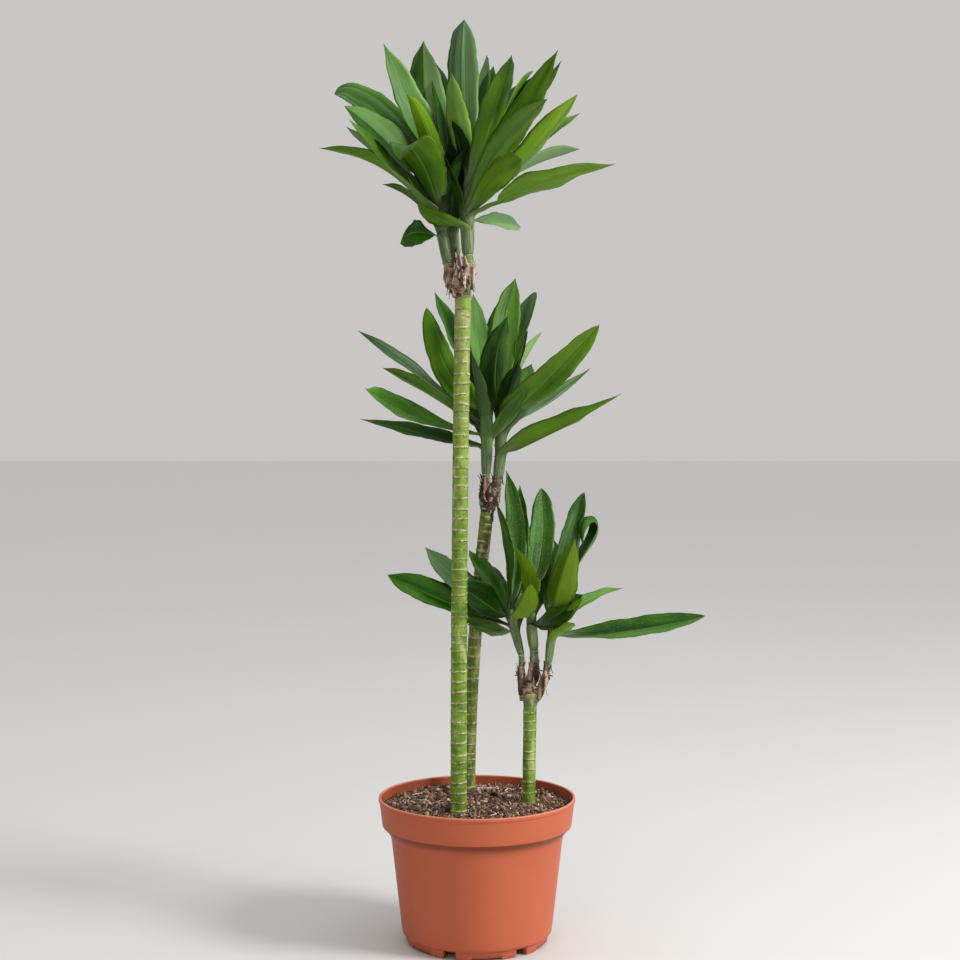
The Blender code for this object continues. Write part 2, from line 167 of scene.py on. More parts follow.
LEAVES: Dict[str, Tuple[Leaf, ...]] = {
    "tall": (
        Leaf("tall_left", 750, 172, 35, 151, 31, 0.14, -25, shade=0.62, dry=0.03),
        Leaf("tall_left", 784, 160, 47, 163, 37, 0.1, 50,
             curl=42, curl_from=0.88, peak=1.6, blunt=0.3, shade=0.32, stripe=0.5),
        Leaf("tall_left", 776, 199, 45, 136, 37, 0.06, 62,
             peak=1.4, blunt=0.6, ripple=1.5, shade=0.38, split=-0.35, stripe=0.2),
        Leaf("tall_left", 766, 216, 40, 138, 34, -0.01, 44, sway=-0.03, hue=0.1),
        Leaf("tall_back", 792, 200, 65, 162, 32, 0.0, 90,
             peak=1.0, blunt=0.75, ripple=1.6, shade=0.6, hue=-0.35, split=-0.25),
        Leaf("tall_back", 808, 127, 73, 152, 42, -0.04, 26,
             sway=0.04, peak=1.0, shade=0.75, hue=-0.2, split=-1.0, stripe=0.3),
        Leaf("tall_right", 808, 94, 68, 183, 34, 0.12, -5,
             sway=0.03, fold=28, blunt=0.66, shade=0.12, hue=-0.15, split=-0.5, stripe=0.75),
        Leaf("tall_right", 816, 249, 64, 96, 23, 0.01, -4,
             sway=-0.04, peak=0.95, shade=0.85, hue=-0.35, stripe=0.5),
        Leaf("tall_right", 795, 289, 42, 166, 31, 0.09, -17,
             sway=0.05, peak=1.15, blunt=0.8, shade=0.38, split=-0.15),
        Leaf("tall_right", 788, 307, 42, 186, 30, 0.0, 72, peak=1.15, blunt=0.8, hue=0.1),
        Leaf("tall_right", 787, 53, 52, 179, 41, 0.1, 37, sway=-0.06, shade=0.4),
        Leaf("tall_right", 776, 341, 44, 153, 35, -0.04, 20, peak=1.5, blunt=0.62, hue=0.3, split=-0.2),
        Leaf("tall_right", 770, 18, 42, 157, 29, 0.04, -23, shade=0.8, hue=-0.2),
        Leaf("tall_right", 776, 28, 27, 143, 30, 0.06, 24,
             sway=-0.02, peak=1.5, shade=0.22, hue=-0.8, stripe=0.8, dry=0.02),
        Leaf("tall_right", 763, 325, 14.3, 175, 28, 0.01, 39,
             sway=-0.12, twist=-20, peak=0.74, blunt=0.8, neck=0.27, ripple=2.2, shade=0.75, hue=-0.15),
        Leaf("tall_right", 758, 57, 2, 97, 21, 0.03, -60,
             blunt=0.6, neck=0.15, shade=0.45, hue=-0.7, split=-0.3, stripe=0.3),
        Leaf("tall_right", 764, 291, 17, 145, 26, 0.09, 55, sway=0.02, peak=1.4, blunt=0.66, hue=0.25),
        Leaf("tall_left", 771, 252, 26, 132, 42, 0.12, -10,
             curl=58, fold=24, peak=1.4, blunt=0.44, shade=0.28, hue=0.1),
        Leaf("tall_left", 742, 245, -7, 92, 25, 0.1, 95, sway=-0.08, blunt=0.7, neck=0.12, shade=0.12),
        Leaf("tall_left", 770, 158, 42, 138, 27, 0.01, 17, shade=0.8, hue=-0.8),
        Leaf("tall_back", 806, 110, 68, 140, 26, 0.07, -10, shade=0.15),
        Leaf("tall_right", 806, 76, 62, 153, 32, 0.06, 43, sway=-0.05, shade=1.0, hue=-0.5),
        Leaf("tall_right", 800, 64, 67, 137, 26, 0.03, -7, sway=-0.02, shade=0.4),
        Leaf("tall_right", 775, 308, 38, 152, 24, 0.07, 28, sway=-0.02, peak=1.35, blunt=0.68, hue=-0.25),
        Leaf("tall_right", 790, 50, 52, 165, 42, 0.05, 0, blunt=0.66, shade=0.2),
        Leaf("tall_right", 788, 22, 55, 172, 25, -0.02, -13, hue=0.2),
        Leaf("tall_left", 790, 252, 46, 122, 20, -0.02, -32,
             sway=0.08, curl=20, curl_from=0.8, fold=30, blunt=0.6, shade=0.6, hue=0.45),
        Leaf("tall_left", 748, 166, 41, 79, 26, 0.11, -17, shade=0.25),
        Leaf("tall_right", 750, 224, 19, 66, 18, -0.01, -86, fold=40, blunt=0.62, shade=0.3, hue=0.15),
        Leaf("tall_right", 752, 100, 24, 112, 26, 0.08, 4, shade=0.4),
        Leaf("tall_back", 796, 92, 48, 150, 32, 0.04, 0, shade=0.35),
        Leaf("tall_back", 786, 122, 38, 150, 32, 0.06, 12, shade=0.45),
        Leaf("tall_back", 776, 72, 34, 142, 32, 0.06, -10),
        Leaf("tall_back", 768, 102, 22, 135, 30, 0.07, 8, hue=0.2),
        Leaf("tall_back", 760, 140, 34, 86, 28, 0.09, 0, shade=0.4),
        Leaf("tall_right", 769, 75, 32, 140, 30, 0.08, -12, shade=0.45),
        Leaf("tall_left", 774, 128, 52, 142, 28, 0.03, 10, shade=0.3),
        Leaf("tall_right", 806, 235, 66, 58, 22, 0.02, 15, shade=-0.2),
        Leaf("tall_back", 772, 285, 72, 90, 24, 0.02, 5, shade=-0.2),
        Leaf("tall_left", 760, 318, 66, 82, 22, 0.04, -10, shade=0.0),
        Leaf("tall_right", 758, 205, 68, 85, 24, 0.03, 10, shade=0.05),
        Leaf("tall_back", 750, 262, 62, 62, 20, 0.03, 0, shade=0.0, hue=-0.1),
    ),
    "middle": (
        Leaf("middle_left", 548, 200, 36, 174, 22, 0.0, 40,
             sway=0.04, neck=0.2, shade=0.05, hue=-0.15, stripe=0.7, dry=0.015),
        Leaf("middle_left", 540, 154, 30, 144, 29, 0.03, -40, neck=0.1, dry=0.07),
        Leaf("middle_left", 535, 220, 19, 168, 35, -0.01, 52, sway=-0.16, blunt=0.75, shade=0.55),
        Leaf("middle_left", 522, 160, 13, 149, 24, 0.0, 36,
             sway=-0.04, peak=0.8, blunt=0.9, shade=0.25, dry=0.1),
        Leaf("middle_left", 560, 237, 45, 159, 28, -0.11, -58, peak=1.0, blunt=0.42, shade=0.4),
        Leaf("middle_left", 568, 129, 55, 158, 29, -0.01, -7, shade=0.3),
        Leaf("middle_left", 575, 107, 66, 130, 26, -0.03, -10, blunt=0.62, hue=-0.25),
        Leaf("middle_right", 580, 77, 63, 149, 33, 0.0, -20,
             sway=0.04, fold=24, hue=0.1, split=-0.3, dew=0.4),
        Leaf("middle_right", 563, 274, 53, 128, 34, -0.05, -26, sway=-0.08, shade=0.1),
        Leaf("middle_right", 571, 67, 55, 154, 27, 0.1, 23, sway=-0.06, peak=2.0, blunt=0.5, neck=0.3),
        Leaf("middle_right", 556, 311, 34, 176, 34, -0.1, 64,
             sway=-0.14, fold=34, peak=0.95, blunt=0.42, ripple=1.6, shade=0.6, split=-0.3, stripe=0.3),
        Leaf("middle_right", 550, 31, 29, 129, 23, -0.06, -2,
             fold=30, shade=0.35, hue=-0.7, stripe=1.0, dry=0.05),
        Leaf("middle_right", 516, 314, 22, 184, 33, -0.01, 31,
             sway=0.02, twist=-30, fold=38, peak=0.62, blunt=1.0, ripple=1.2, hue=0.12, split=-0.3,
             dry=0.02),
        Leaf("middle_left", 530, 300, 38, 96, 18, 0.0, 40, fold=34, shade=0.4, hue=-0.2),
        Leaf("middle_right", 560, 57, 49, 124, 22, 0.03, 65, sway=0.02, shade=0.7, hue=-0.8),
        Leaf("middle_right", 565, 65, 53, 112, 20, 0.02, 16, shade=0.15),
        Leaf("middle_left", 520, 268, 62, 60, 15, -0.02, 1, fold=34, shade=0.3, hue=-0.5),
        Leaf("middle_left", 545, 258, 47, 115, 22, -0.06, 40, fold=26, shade=0.1, hue=-0.35),
        Leaf("middle_left", 570, 85, 53, 139, 27, -0.02, 9, sway=-0.02, shade=0.2),
        Leaf("middle_right", 555, 283, 40, 95, 22, 0.02, -8, shade=0.05),
        Leaf("middle_right", 538, 302, 34, 70, 22, 0.05, 16, shade=0.35, hue=-0.25),
        Leaf("middle_left", 552, 98, 55, 125, 30, 0.0, 5, shade=0.35),
        Leaf("middle_right", 552, 92, 52, 120, 30, 0.02, -5, shade=0.4),
        Leaf("middle_left", 540, 128, 38, 115, 28, 0.03, 10, shade=0.35),
        Leaf("middle_right", 542, 66, 42, 112, 28, 0.02, -10, shade=0.45),
        Leaf("middle_left", 530, 112, 44, 95, 26, 0.05, 0, shade=0.3),
        Leaf("middle_right", 533, 72, 36, 105, 26, 0.04, -8, shade=0.4),
    ),
    "short": (
        Leaf("short_left", 334, 163, 21, 149, 36, -0.01, 42, peak=1.4, blunt=0.6, neck=0.08, shade=0.3),
        Leaf("short_left", 343, 150, 35, 128, 29, -0.04, 38, shade=0.2, hue=-0.5, stripe=0.4),
        Leaf("short_left", 349, 126, 41, 97, 25, 0.04, 5, sway=0.03, shade=0.4),
        Leaf("short_left", 345, 207, 34, 71, 39, -0.02, 71, sway=0.03, shade=0.05),
        Leaf("short_left", 357, 93, 68, 154, 23, 0.0, 23,
             sway=-0.07, fold=28, shade=0.48, hue=-0.12, dew=1.0),
        Leaf("short_middle", 374, 76, 66, 117, 29, -0.04, 1,
             sway=-0.05, fold=24, peak=1.1, blunt=0.44, shade=0.42, hue=-0.12, dew=1.0),
        Leaf("short_right", 345, 62, 60, 151, 24, 0.06, -65,
             twist=60, peak=0.85, blunt=0.42, shade=0.2, dry=0.02),
        Leaf("short_right", 340, 47, 40, 179, 22, 0.12, 20,
             curl=-269, curl_from=0.53, fold=34, shade=0.35, dry=0.01),
        Leaf("short_right", 352, 281, 43, 127, 39, -0.06, 74,
             sway=-0.05, blunt=0.68, shade=0.55, hue=0.35, split=0.7),
        Leaf("short_middle", 362, 255, 45, 92, 23, 0.03, 29, sway=0.04, peak=1.0, shade=0.65, hue=0.4),
        Leaf("short_left", 342, 283, 34, 87, 19, -0.07, 32, sway=0.05, blunt=0.6, shade=0.8, hue=0.7),
        Leaf("short_middle", 338, 320, 31, 73, 35, -0.07, -63,
             sway=-0.06, blunt=0.66, shade=0.18, hue=0.1, split=0.3),
        Leaf("short_right", 332, 39, 21, 108, 19, 0.07, -10,
             sway=0.03, neck=0.1, shade=0.8, hue=-0.1, dry=0.02),
        Leaf("short_right", 324, 11, 7, 168, 29, -0.03, -46,
             sway=0.02, fold=24, peak=1.1, blunt=0.5, neck=0.05, shade=0.3, split=-0.25, dew=0.25),
        Leaf("short_left", 350, 151, 83, 120, 24, 0.04, -57, shade=0.2),
        Leaf("short_left", 353, 78, 70, 140, 24, -0.06, 8, sway=-0.02, shade=0.42, dew=0.8),
        Leaf("short_right", 322, 300, 30, 48, 18, 0.05, 18, shade=0.8, hue=0.6),
        Leaf("short_left", 330, 143, 7, 68, 30, -0.07, -59, sway=-0.04, shade=0.35),
        Leaf("short_middle", 336, 308, 27, 88, 25, -0.13, -56, sway=0.02, shade=0.8, hue=0.5),
        Leaf("short_middle", 356, 100, 40, 118, 28, 0.04, 0, shade=0.3),
        Leaf("short_right", 342, 88, 48, 112, 26, 0.05, 8, shade=0.4),
        Leaf("short_left", 338, 112, 33, 112, 26, 0.05, 0, shade=0.35),
        Leaf("short_middle", 346, 64, 30, 105, 26, 0.07, -8, shade=0.45),
        Leaf("short_right", 334, 75, 36, 100, 24, 0.08, 6),
        Leaf("short_left", 330, 88, 18, 98, 24, 0.08, 0, shade=0.35),
    ),
}


# ---------------------------------------------------------------- arrays


def unit(vectors: Array) -> Array:
    """Scale vectors to length 1 along their last axis."""
    return vectors / np.maximum(np.linalg.norm(vectors, axis=-1, keepdims=True), 1e-12)


def smooth(value: Array, low: float, high: float) -> Array:
    """Rise from 0 at low to 1 at high along 3x squared less 2x cubed."""
    share = np.clip((value - low) / (high - low), 0.0, 1.0)
    return share * share * (3 - 2 * share)


def turns(count: int) -> Array:
    """Angles in radians, evenly spaced over one turn."""
    return np.linspace(0, 2 * np.pi, count, endpoint=False)


def polar(angle: Array, radius: Union[Array, float] = 1.0, height: Union[Array, float] = 0.0) -> Array:
    """Points from an angle in radians, a distance from the Z axis and a height."""
    parts = np.broadcast_arrays(radius * np.cos(angle), radius * np.sin(angle), height)
    return np.stack(parts, axis=-1)


def spoke(angle: float) -> Array:
    """Give the level unit direction at an angle in radians."""
    return np.array([math.cos(angle), math.sin(angle), 0.0])


def grain(points: Array, cell: float, seed: int) -> Array:
    """Value noise from -1 to 1 at points.

    Each corner of a cubic lattice holds a number scrambled from its place, and a point blends the
    eight corners round it with smooth weights.

    Args:
        points: places in metres, with x, y and z along the last axis.
        cell: size of the lattice's cells in metres.
        seed: picks another pattern.

    Returns:
        One number for each point.
    """
    scaled = points / cell
    low = np.floor(scaled)
    part = scaled - low
    part = part * part * (3 - 2 * part)
    total = np.zeros(points.shape[:-1])
    for corner in itertools.product((0, 1), repeat=3):
        key = np.sin((low + corner) @ np.array([127.1, 311.7, 74.7]) + seed * 17.3) * 43758.5453
        weight = np.prod(np.where(corner, part, 1 - part), axis=-1)
        total = total + weight * (key - np.floor(key))
    return total * 2 - 1


def smooth_path(knots: Array, count: int) -> Array:
    """Points of a curve through knots.

    On each span the curve is the cubic whose end slopes are half the step between the knots on
    either side.

    Args:
        knots: the points to pass through.
        count: how many points to give back.

    Returns:
        An array of count points.
    """
    knots = np.asarray(knots, float)
    padded = np.vstack([2 * knots[0] - knots[1], knots, 2 * knots[-1] - knots[-2]])
    where = np.linspace(0, len(knots) - 1, count)
    span = np.minimum(where.astype(int), len(knots) - 2)
    part = (where - span)[:, None]
    before, start, end, after = (padded[span + step] for step in range(4))
    slope_in, slope_out = (end - before) / 2, (after - start) / 2
    return (start * (2 * part**3 - 3 * part**2 + 1) + slope_in * (part**3 - 2 * part**2 + part)
            + end * (3 * part**2 - 2 * part**3) + slope_out * (part**3 - part**2))


def tube_rings(path: Array, radii: Array, sides: int, reference: Array) -> Array:
    """Rings of points round a path: path plus radius times the cosine and sine of the two normals.

    Args:
        path: points along the middle.
        radii: one for each point, or one for each point and side.
        sides: points of a ring.
        reference: a direction that the path never takes, from which the normals are counted.

    Returns:
        An array of path points by sides by 3.
    """
    along = unit(np.gradient(path, axis=0))
    across = unit(np.cross(reference, along))
    third = np.cross(along, across)
    angle = turns(sides)
    spokes = (across[:, None, :] * np.cos(angle)[None, :, None]
              + third[:, None, :] * np.sin(angle)[None, :, None])
    radii = np.broadcast_to(np.asarray(radii, float).reshape(len(path), -1), (len(path), sides))
    return path[:, None, :] + spokes * radii[:, :, None]


# ---------------------------------------------------------------- surfaces and pieces


@dataclass
class Skin:
    """A closed surface: points, faces, the map place of each face corner, and named traits a point."""

    points: Array
    faces: List[List[int]]
    corners: Array
    traits: Dict[str, Array]


def sweep(rings: Array, **traits: Union[Array, float]) -> Skin:
    """Join rings of points into a closed tube with flat ends.

    The map runs once round the ring from left to right and once along the rings upwards. Rings
    that would face inwards are turned round, judged by the tube's volume about its middle.

    Args:
        rings: an array of rings by sides by 3.
        traits: numbers for each point, for each ring or for the whole tube.

    Returns:
        The tube's skin.
    """
    rows, sides = rings.shape[:2]
    middle = rings.reshape(-1, 3).mean(0)
    here, right = rings - middle, np.roll(rings, -1, axis=1) - middle
    a, b, c, d = here[:-1], right[:-1], right[1:], here[1:]
    outward = np.sum(a * np.cross(b, c)) + np.sum(a * np.cross(c, d)) > 0
    order = np.arange(sides) if outward else np.arange(sides)[::-1]
    after = np.roll(order, -1)
    base = np.arange(rows - 1)[:, None] * sides
    quads = np.stack([base + order, base + after, base + sides + after, base + sides + order], axis=-1)
    left = order / sides if outward else np.where(order == 0, sides, order) / sides
    step = 1 / sides if outward else -1 / sides
    across = np.broadcast_to(np.stack([left, left + step, left + step, left], axis=-1), (rows - 1, sides, 4))
    low = np.arange(rows - 1)[:, None, None] / (rows - 1)
    upward = np.broadcast_to(low + np.array([0, 0, 1, 1]) / (rows - 1), (rows - 1, sides, 4))
    corners = np.stack([across, upward], axis=-1).reshape(-1, 2)
    ends = [order[::-1].tolist(), ((rows - 1) * sides + order).tolist()]
    end_map = [np.stack([order[::-1] / sides, np.zeros(sides)], axis=-1),
               np.stack([order / sides, np.ones(sides)], axis=-1)]
    held = {key: np.broadcast_to(trait, (rows, sides)).ravel() for key, trait in traits.items()}
    return Skin(rings.reshape(-1, 3), quads.reshape(-1, 4).tolist() + ends,
                np.vstack([corners] + end_map), held)


def joined(skins: Sequence[Skin]) -> Skin:
    """Put several skins with the same traits into one, side by side."""
    starts = np.cumsum([0] + [len(skin.points) for skin in skins])
    faces = [[int(start) + index for index in face]
             for start, skin in zip(starts, skins) for face in skin.faces]
    held = {key: np.concatenate([skin.traits[key] for skin in skins]) for key in skins[0].traits}
    return Skin(np.vstack([skin.points for skin in skins]), faces,
                np.vstack([skin.corners for skin in skins]), held)


def put(name: str, data: bpy.types.ID) -> bpy.types.Object:
    """Make an object of a mesh, a lamp or a camera, in the scene."""
    made = bpy.data.objects.new(name, data)
    bpy.context.scene.collection.objects.link(made)
    return made


def make_piece(name: str, skin: Skin, material: bpy.types.Material,
               nodes: Sequence[str] = ()) -> None:
    """Make a skin an object that rides on the plant.

    Args:
        name: of the piece.
        skin: its surface.
        material: its finish.
        nodes: the plain solids that it stands for.
    """
    mesh = bpy.data.meshes.new(name)
    mesh.from_pydata(skin.points.tolist(), [], skin.faces)
    mesh.uv_layers.new(name="span").data.foreach_set("uv", skin.corners.astype(np.float32).ravel())
    for key, trait in skin.traits.items():
        held = mesh.attributes.new(key, "FLOAT", "POINT")
        held.data.foreach_set("value", trait.astype(np.float32))
    mesh.materials.append(material)
    mesh.shade_smooth()
    piece = put(name, mesh)
    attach(piece, "root")
    if nodes:
        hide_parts(*nodes)
    LOG.info("%s: %d points, stands for %s", name, len(skin.points), ", ".join(nodes) or "no solid")


# ---------------------------------------------------------------- material boards


class Value:
    """A number or colour in a material. Arithmetic on it adds the Math nodes that work it out."""

    def __init__(self, board: "Board", socket: bpy.types.NodeSocket) -> None:
        """Wrap a socket of a board."""
        self.board = board
        self.socket = socket

    def math(self, operation: str, *terms: Term) -> "Value":
        """Add a Math node.

        Args:
            operation: the node's operation.
            terms: its inputs in order.

        Returns:
            The node's result.
        """
        return self.board.value("ShaderNodeMath", {"operation": operation}, dict(enumerate(terms)))

    def __add__(self, other: Term) -> "Value":
        """Give self + other."""
        return self.math("ADD", self, other)

    __radd__ = __add__

    def __sub__(self, other: Term) -> "Value":
        """Give self - other."""
        return self.math("SUBTRACT", self, other)

    def __rsub__(self, other: Term) -> "Value":
        """Give other - self."""
        return self.math("SUBTRACT", other, self)

    def __mul__(self, other: Term) -> "Value":
        """Give self * other."""
        return self.math("MULTIPLY", self, other)

    __rmul__ = __mul__

    def __abs__(self) -> "Value":
        """Give self without its sign."""
        return self.math("ABSOLUTE", self)

    def part(self) -> "Value":
        """Give what is left after the whole number."""
        return self.math("FRACT", self)

    def least(self, other: Term) -> "Value":
        """Give the smaller of two."""
        return self.math("MINIMUM", self, other)

    def most(self, other: Term) -> "Value":
        """Give the larger of two."""
        return self.math("MAXIMUM", self, other)

    def between(self, low: Term, high: Term) -> "Value":
        """Rise smoothly from 0 at low to 1 at high; with low above high it falls."""
        settings = {"interpolation_type": "SMOOTHSTEP"}
        return self.board.value("ShaderNodeMapRange", settings, {0: self, 1: low, 2: high})


class Board:
    """The node tree of one material with its Principled shader, or of a world with its Background."""

    def __init__(self, name: str, world: bool = False) -> None:
        """Start the tree.

        Args:
            name: of the material or the world.
            world: make a world, not a material.
        """
        self.owner = bpy.data.worlds.new(name) if world else bpy.data.materials.new(name)
        self.owner.use_nodes = True
        self.tree = self.owner.node_tree
        self.shader = self.tree.nodes["Background" if world else "Principled BSDF"]

    def node(self, kind: str, settings: Optional[dict] = None,
             inputs: Optional[dict] = None) -> bpy.types.Node:
        """Add a node.

        Args:
            kind: the node's type.
            settings: its properties, set first; stops are a ramp's places and colours.
            inputs: values or links for its sockets, by name or number.

        Returns:
            The node.
        """
        made = self.tree.nodes.new(kind)
        for key, setting in (settings or {}).items():
            if key != "stops":
                setattr(made, key, setting)
                continue
            while len(made.color_ramp.elements) < len(setting):
                made.color_ramp.elements.new(1.0)
            for element, (place, colour) in zip(made.color_ramp.elements, setting):
                element.position = place
                element.color = (*colour, 1.0)
        for key, term in (inputs or {}).items():
            self.join(term, made.inputs[key])
        return made

    def join(self, term: Term, socket: bpy.types.NodeSocket) -> None:
        """Link a value to a socket, or set the socket to a number or a colour.

        Args:
            term: the value, number, vector or colour.
            socket: the input that takes it.
        """
        if isinstance(term, Value):
            self.tree.links.new(term.socket, socket)
        elif socket.type == "RGBA":
            socket.default_value = (*term, 1.0)
        else:
            socket.default_value = term

    def value(self, kind: str, settings: Optional[dict] = None, inputs: Optional[dict] = None,
              output: Union[int, str] = 0) -> Value:
        """Add a node and give one of its outputs, by name or number."""
        return Value(self, self.node(kind, settings, inputs).outputs[output])

    def place(self, stretch: Sequence[float] = (1, 1, 1)) -> Value:
        """Object coordinates, each multiplied by its stretch."""
        place = self.value("ShaderNodeTexCoord", output="Object")
        return self.value("ShaderNodeVectorMath", {"operation": "MULTIPLY"}, {0: place, 1: stretch})

    def span(self) -> Tuple[Value, Value]:
        """Read the piece's own map.

        Returns:
            Its two coordinates: round the piece, and along it.
        """
        place = self.value("ShaderNodeUVMap", {"uv_map": "span"})
        parts = self.node("ShaderNodeSeparateXYZ", inputs={0: place})
        return Value(self, parts.outputs[0]), Value(self, parts.outputs[1])

    def trait(self, name: str) -> Value:
        """A number that each point of the piece holds."""
        return self.value("ShaderNodeAttribute", {"attribute_name": name}, output="Fac")

    def at(self, x: Term, y: Term, z: Term) -> Value:
        """A place from three numbers."""
        return self.value("ShaderNodeCombineXYZ", inputs={0: x, 1: y, 2: z})

    def noise(self, place: Value, scale: float, detail: float = 3.0, rough: float = 0.5) -> Value:
        """Noise from 0 to 1, with so many cells in a unit of place."""
        inputs = {"Vector": place, "Scale": scale, "Detail": detail, "Roughness": rough}
        return self.value("ShaderNodeTexNoise", {"normalize": True}, inputs)

    def spots(self, place: Value, scale: float) -> Value:
        """Distance from the middle of the nearest cell, 0 at the middle."""
        return self.value("ShaderNodeTexVoronoi", None, {"Vector": place, "Scale": scale})

    def blend(self, share: Term, first: Term, second: Term) -> Value:
        """Mix two colours.

        Args:
            share: 0 gives the first colour and 1 the second.
            first: a colour.
            second: a colour.

        Returns:
            The mixture.
        """
        settings = {"data_type": "RGBA"}
        node = self.node("ShaderNodeMix", settings, {0: share, 6: first, 7: second})
        return Value(self, node.outputs[2])

    def ramp(self, share: Value, stops: Sequence[Tuple[float, Colour]]) -> Value:
        """Colours along a ramp."""
        return self.value("ShaderNodeValToRGB", {"stops": stops}, {0: share})

    def relief(self, height: Value, depth: float, strength: float = 1.0) -> Value:
        """Normals of a relief whose height of 1 stands depth metres proud."""
        inputs = {"Height": height, "Distance": depth, "Strength": strength}
        return self.value("ShaderNodeBump", None, inputs)

    def finish(self, **sockets: Term) -> bpy.types.Material:
        """Feed the shader.

        Args:
            sockets: a term for each of its inputs, with _ for a space in the input's name.

        Returns:
            The finished material.
        """
        for name, term in sockets.items():
            self.join(term, self.shader.inputs[name.replace("_", " ")])
        return self.owner


# ---------------------------------------------------------------- finishes


@dataclass(frozen=True)
class PlasticFinish:
    """Moulded terracotta-coloured plastic, faintly mottled and scuffed towards its foot."""

    colour: Colour = (0.465, 0.110, 0.050)
    worn_and_highlight: Colour = (0.62, 0.23, 0.15)
    deep: Colour = (0.405, 0.088, 0.038)
    painted_shade: Colour = (0.120, 0.024, 0.010)

    def material(self) -> bpy.types.Material:
        """Make the plastic: a slow mottle, fine grain, scuffs, a painted lip highlight, painted shade under
        the collar and inside.

        Returns:
            The material.
        """
        board = Board("moulded_plastic")
        place = board.place()
        mottle = board.noise(place, 14, 4, 0.6)
        fine = board.noise(place, 900, 2)
        scuffs = board.noise(board.place((1, 1, 6)), 55, 6, 0.7).between(0.63, 0.72)
        height = board.value("ShaderNodeSeparateXYZ", inputs={0: place}, output=2)
        low = height.between(0.06, 0.0)
        colour = board.blend(mottle.between(0.25, 0.75) * 0.6 + 0.3, self.deep, self.colour)
        colour = board.blend(scuffs * (0.08 + 0.35 * low), colour, self.worn_and_highlight)
        colour = board.blend(fine * 0.10, colour, self.worn_and_highlight)
        # Painted shade: darker under the collar and on the inner wall, where the pot shades itself.
        collar = height.between(0.1135, 0.1225) * height.between(0.1262, 0.1250)
        inside = board.span()[1].between(0.76, 0.80) * height.between(0.02, 0.05)
        painted_shade_share = (collar * (1 - inside) * (0.55 + 0.25 * mottle)).most(inside * 0.45)
        colour = board.blend(painted_shade_share, colour, self.painted_shade)
        # Painted highlight: a pale line along the top of the rim.
        painted_rim_highlight = height.between(0.1536, 0.1546) * (0.45 + 0.35 * fine)
        colour = board.blend(painted_rim_highlight, colour, self.worn_and_highlight)
        rough = 0.40 + 0.12 * mottle + 0.18 * scuffs * low
        relief = board.relief(fine + 0.6 * board.noise(place, 260, 2), 0.00010, 0.5)
        return board.finish(Base_Color=colour, Roughness=rough, Specular_IOR_Level=0.15, Normal=relief)


@dataclass(frozen=True)
class SoilFinish:
    """Peaty potting mix: dark crumbs, brown fibres, a few pale grains."""

    stops: Tuple[Tuple[float, Colour], ...] = (
        (0.0, (0.011, 0.006, 0.004)), (0.30, (0.058, 0.030, 0.019)), (0.55, (0.235, 0.134, 0.085)),
        (0.78, (0.43, 0.285, 0.200)), (0.92, (0.56, 0.42, 0.32)), (0.97, (0.86, 0.84, 0.80)))

    def ground(self) -> bpy.types.Material:
        """Make the ground between the crumbs: noise of two sizes through the ramp.

        Returns:
            The material.
        """
        board = Board("potting_mix")
        place = board.place()
        coarse = board.noise(place, 170, 4, 0.65)
        fine = board.noise(place, 900, 3, 0.6)
        tone = (coarse - 0.5) * 1.6 + (fine - 0.5) * 1.0 + 0.32
        relief = board.relief(coarse + 0.5 * fine, 0.002)
        shade = board.ramp(tone, self.stops)
        return board.finish(Base_Color=shade, Roughness=0.95, Specular_IOR_Level=0.2, Normal=relief)

    def crumbs(self) -> bpy.types.Material:
        """Make the crumbs: each has its own tone, broken by fine noise.

        Returns:
            The material.
        """
        board = Board("crumbs")
        fine = board.noise(board.place(), 1100, 4, 0.65)
        shade = board.ramp(board.trait("tone") + (fine - 0.5) * 0.45, self.stops)
        relief = board.relief(fine, 0.0008)
        return board.finish(Base_Color=shade, Roughness=0.9, Specular_IOR_Level=0.2, Normal=relief)


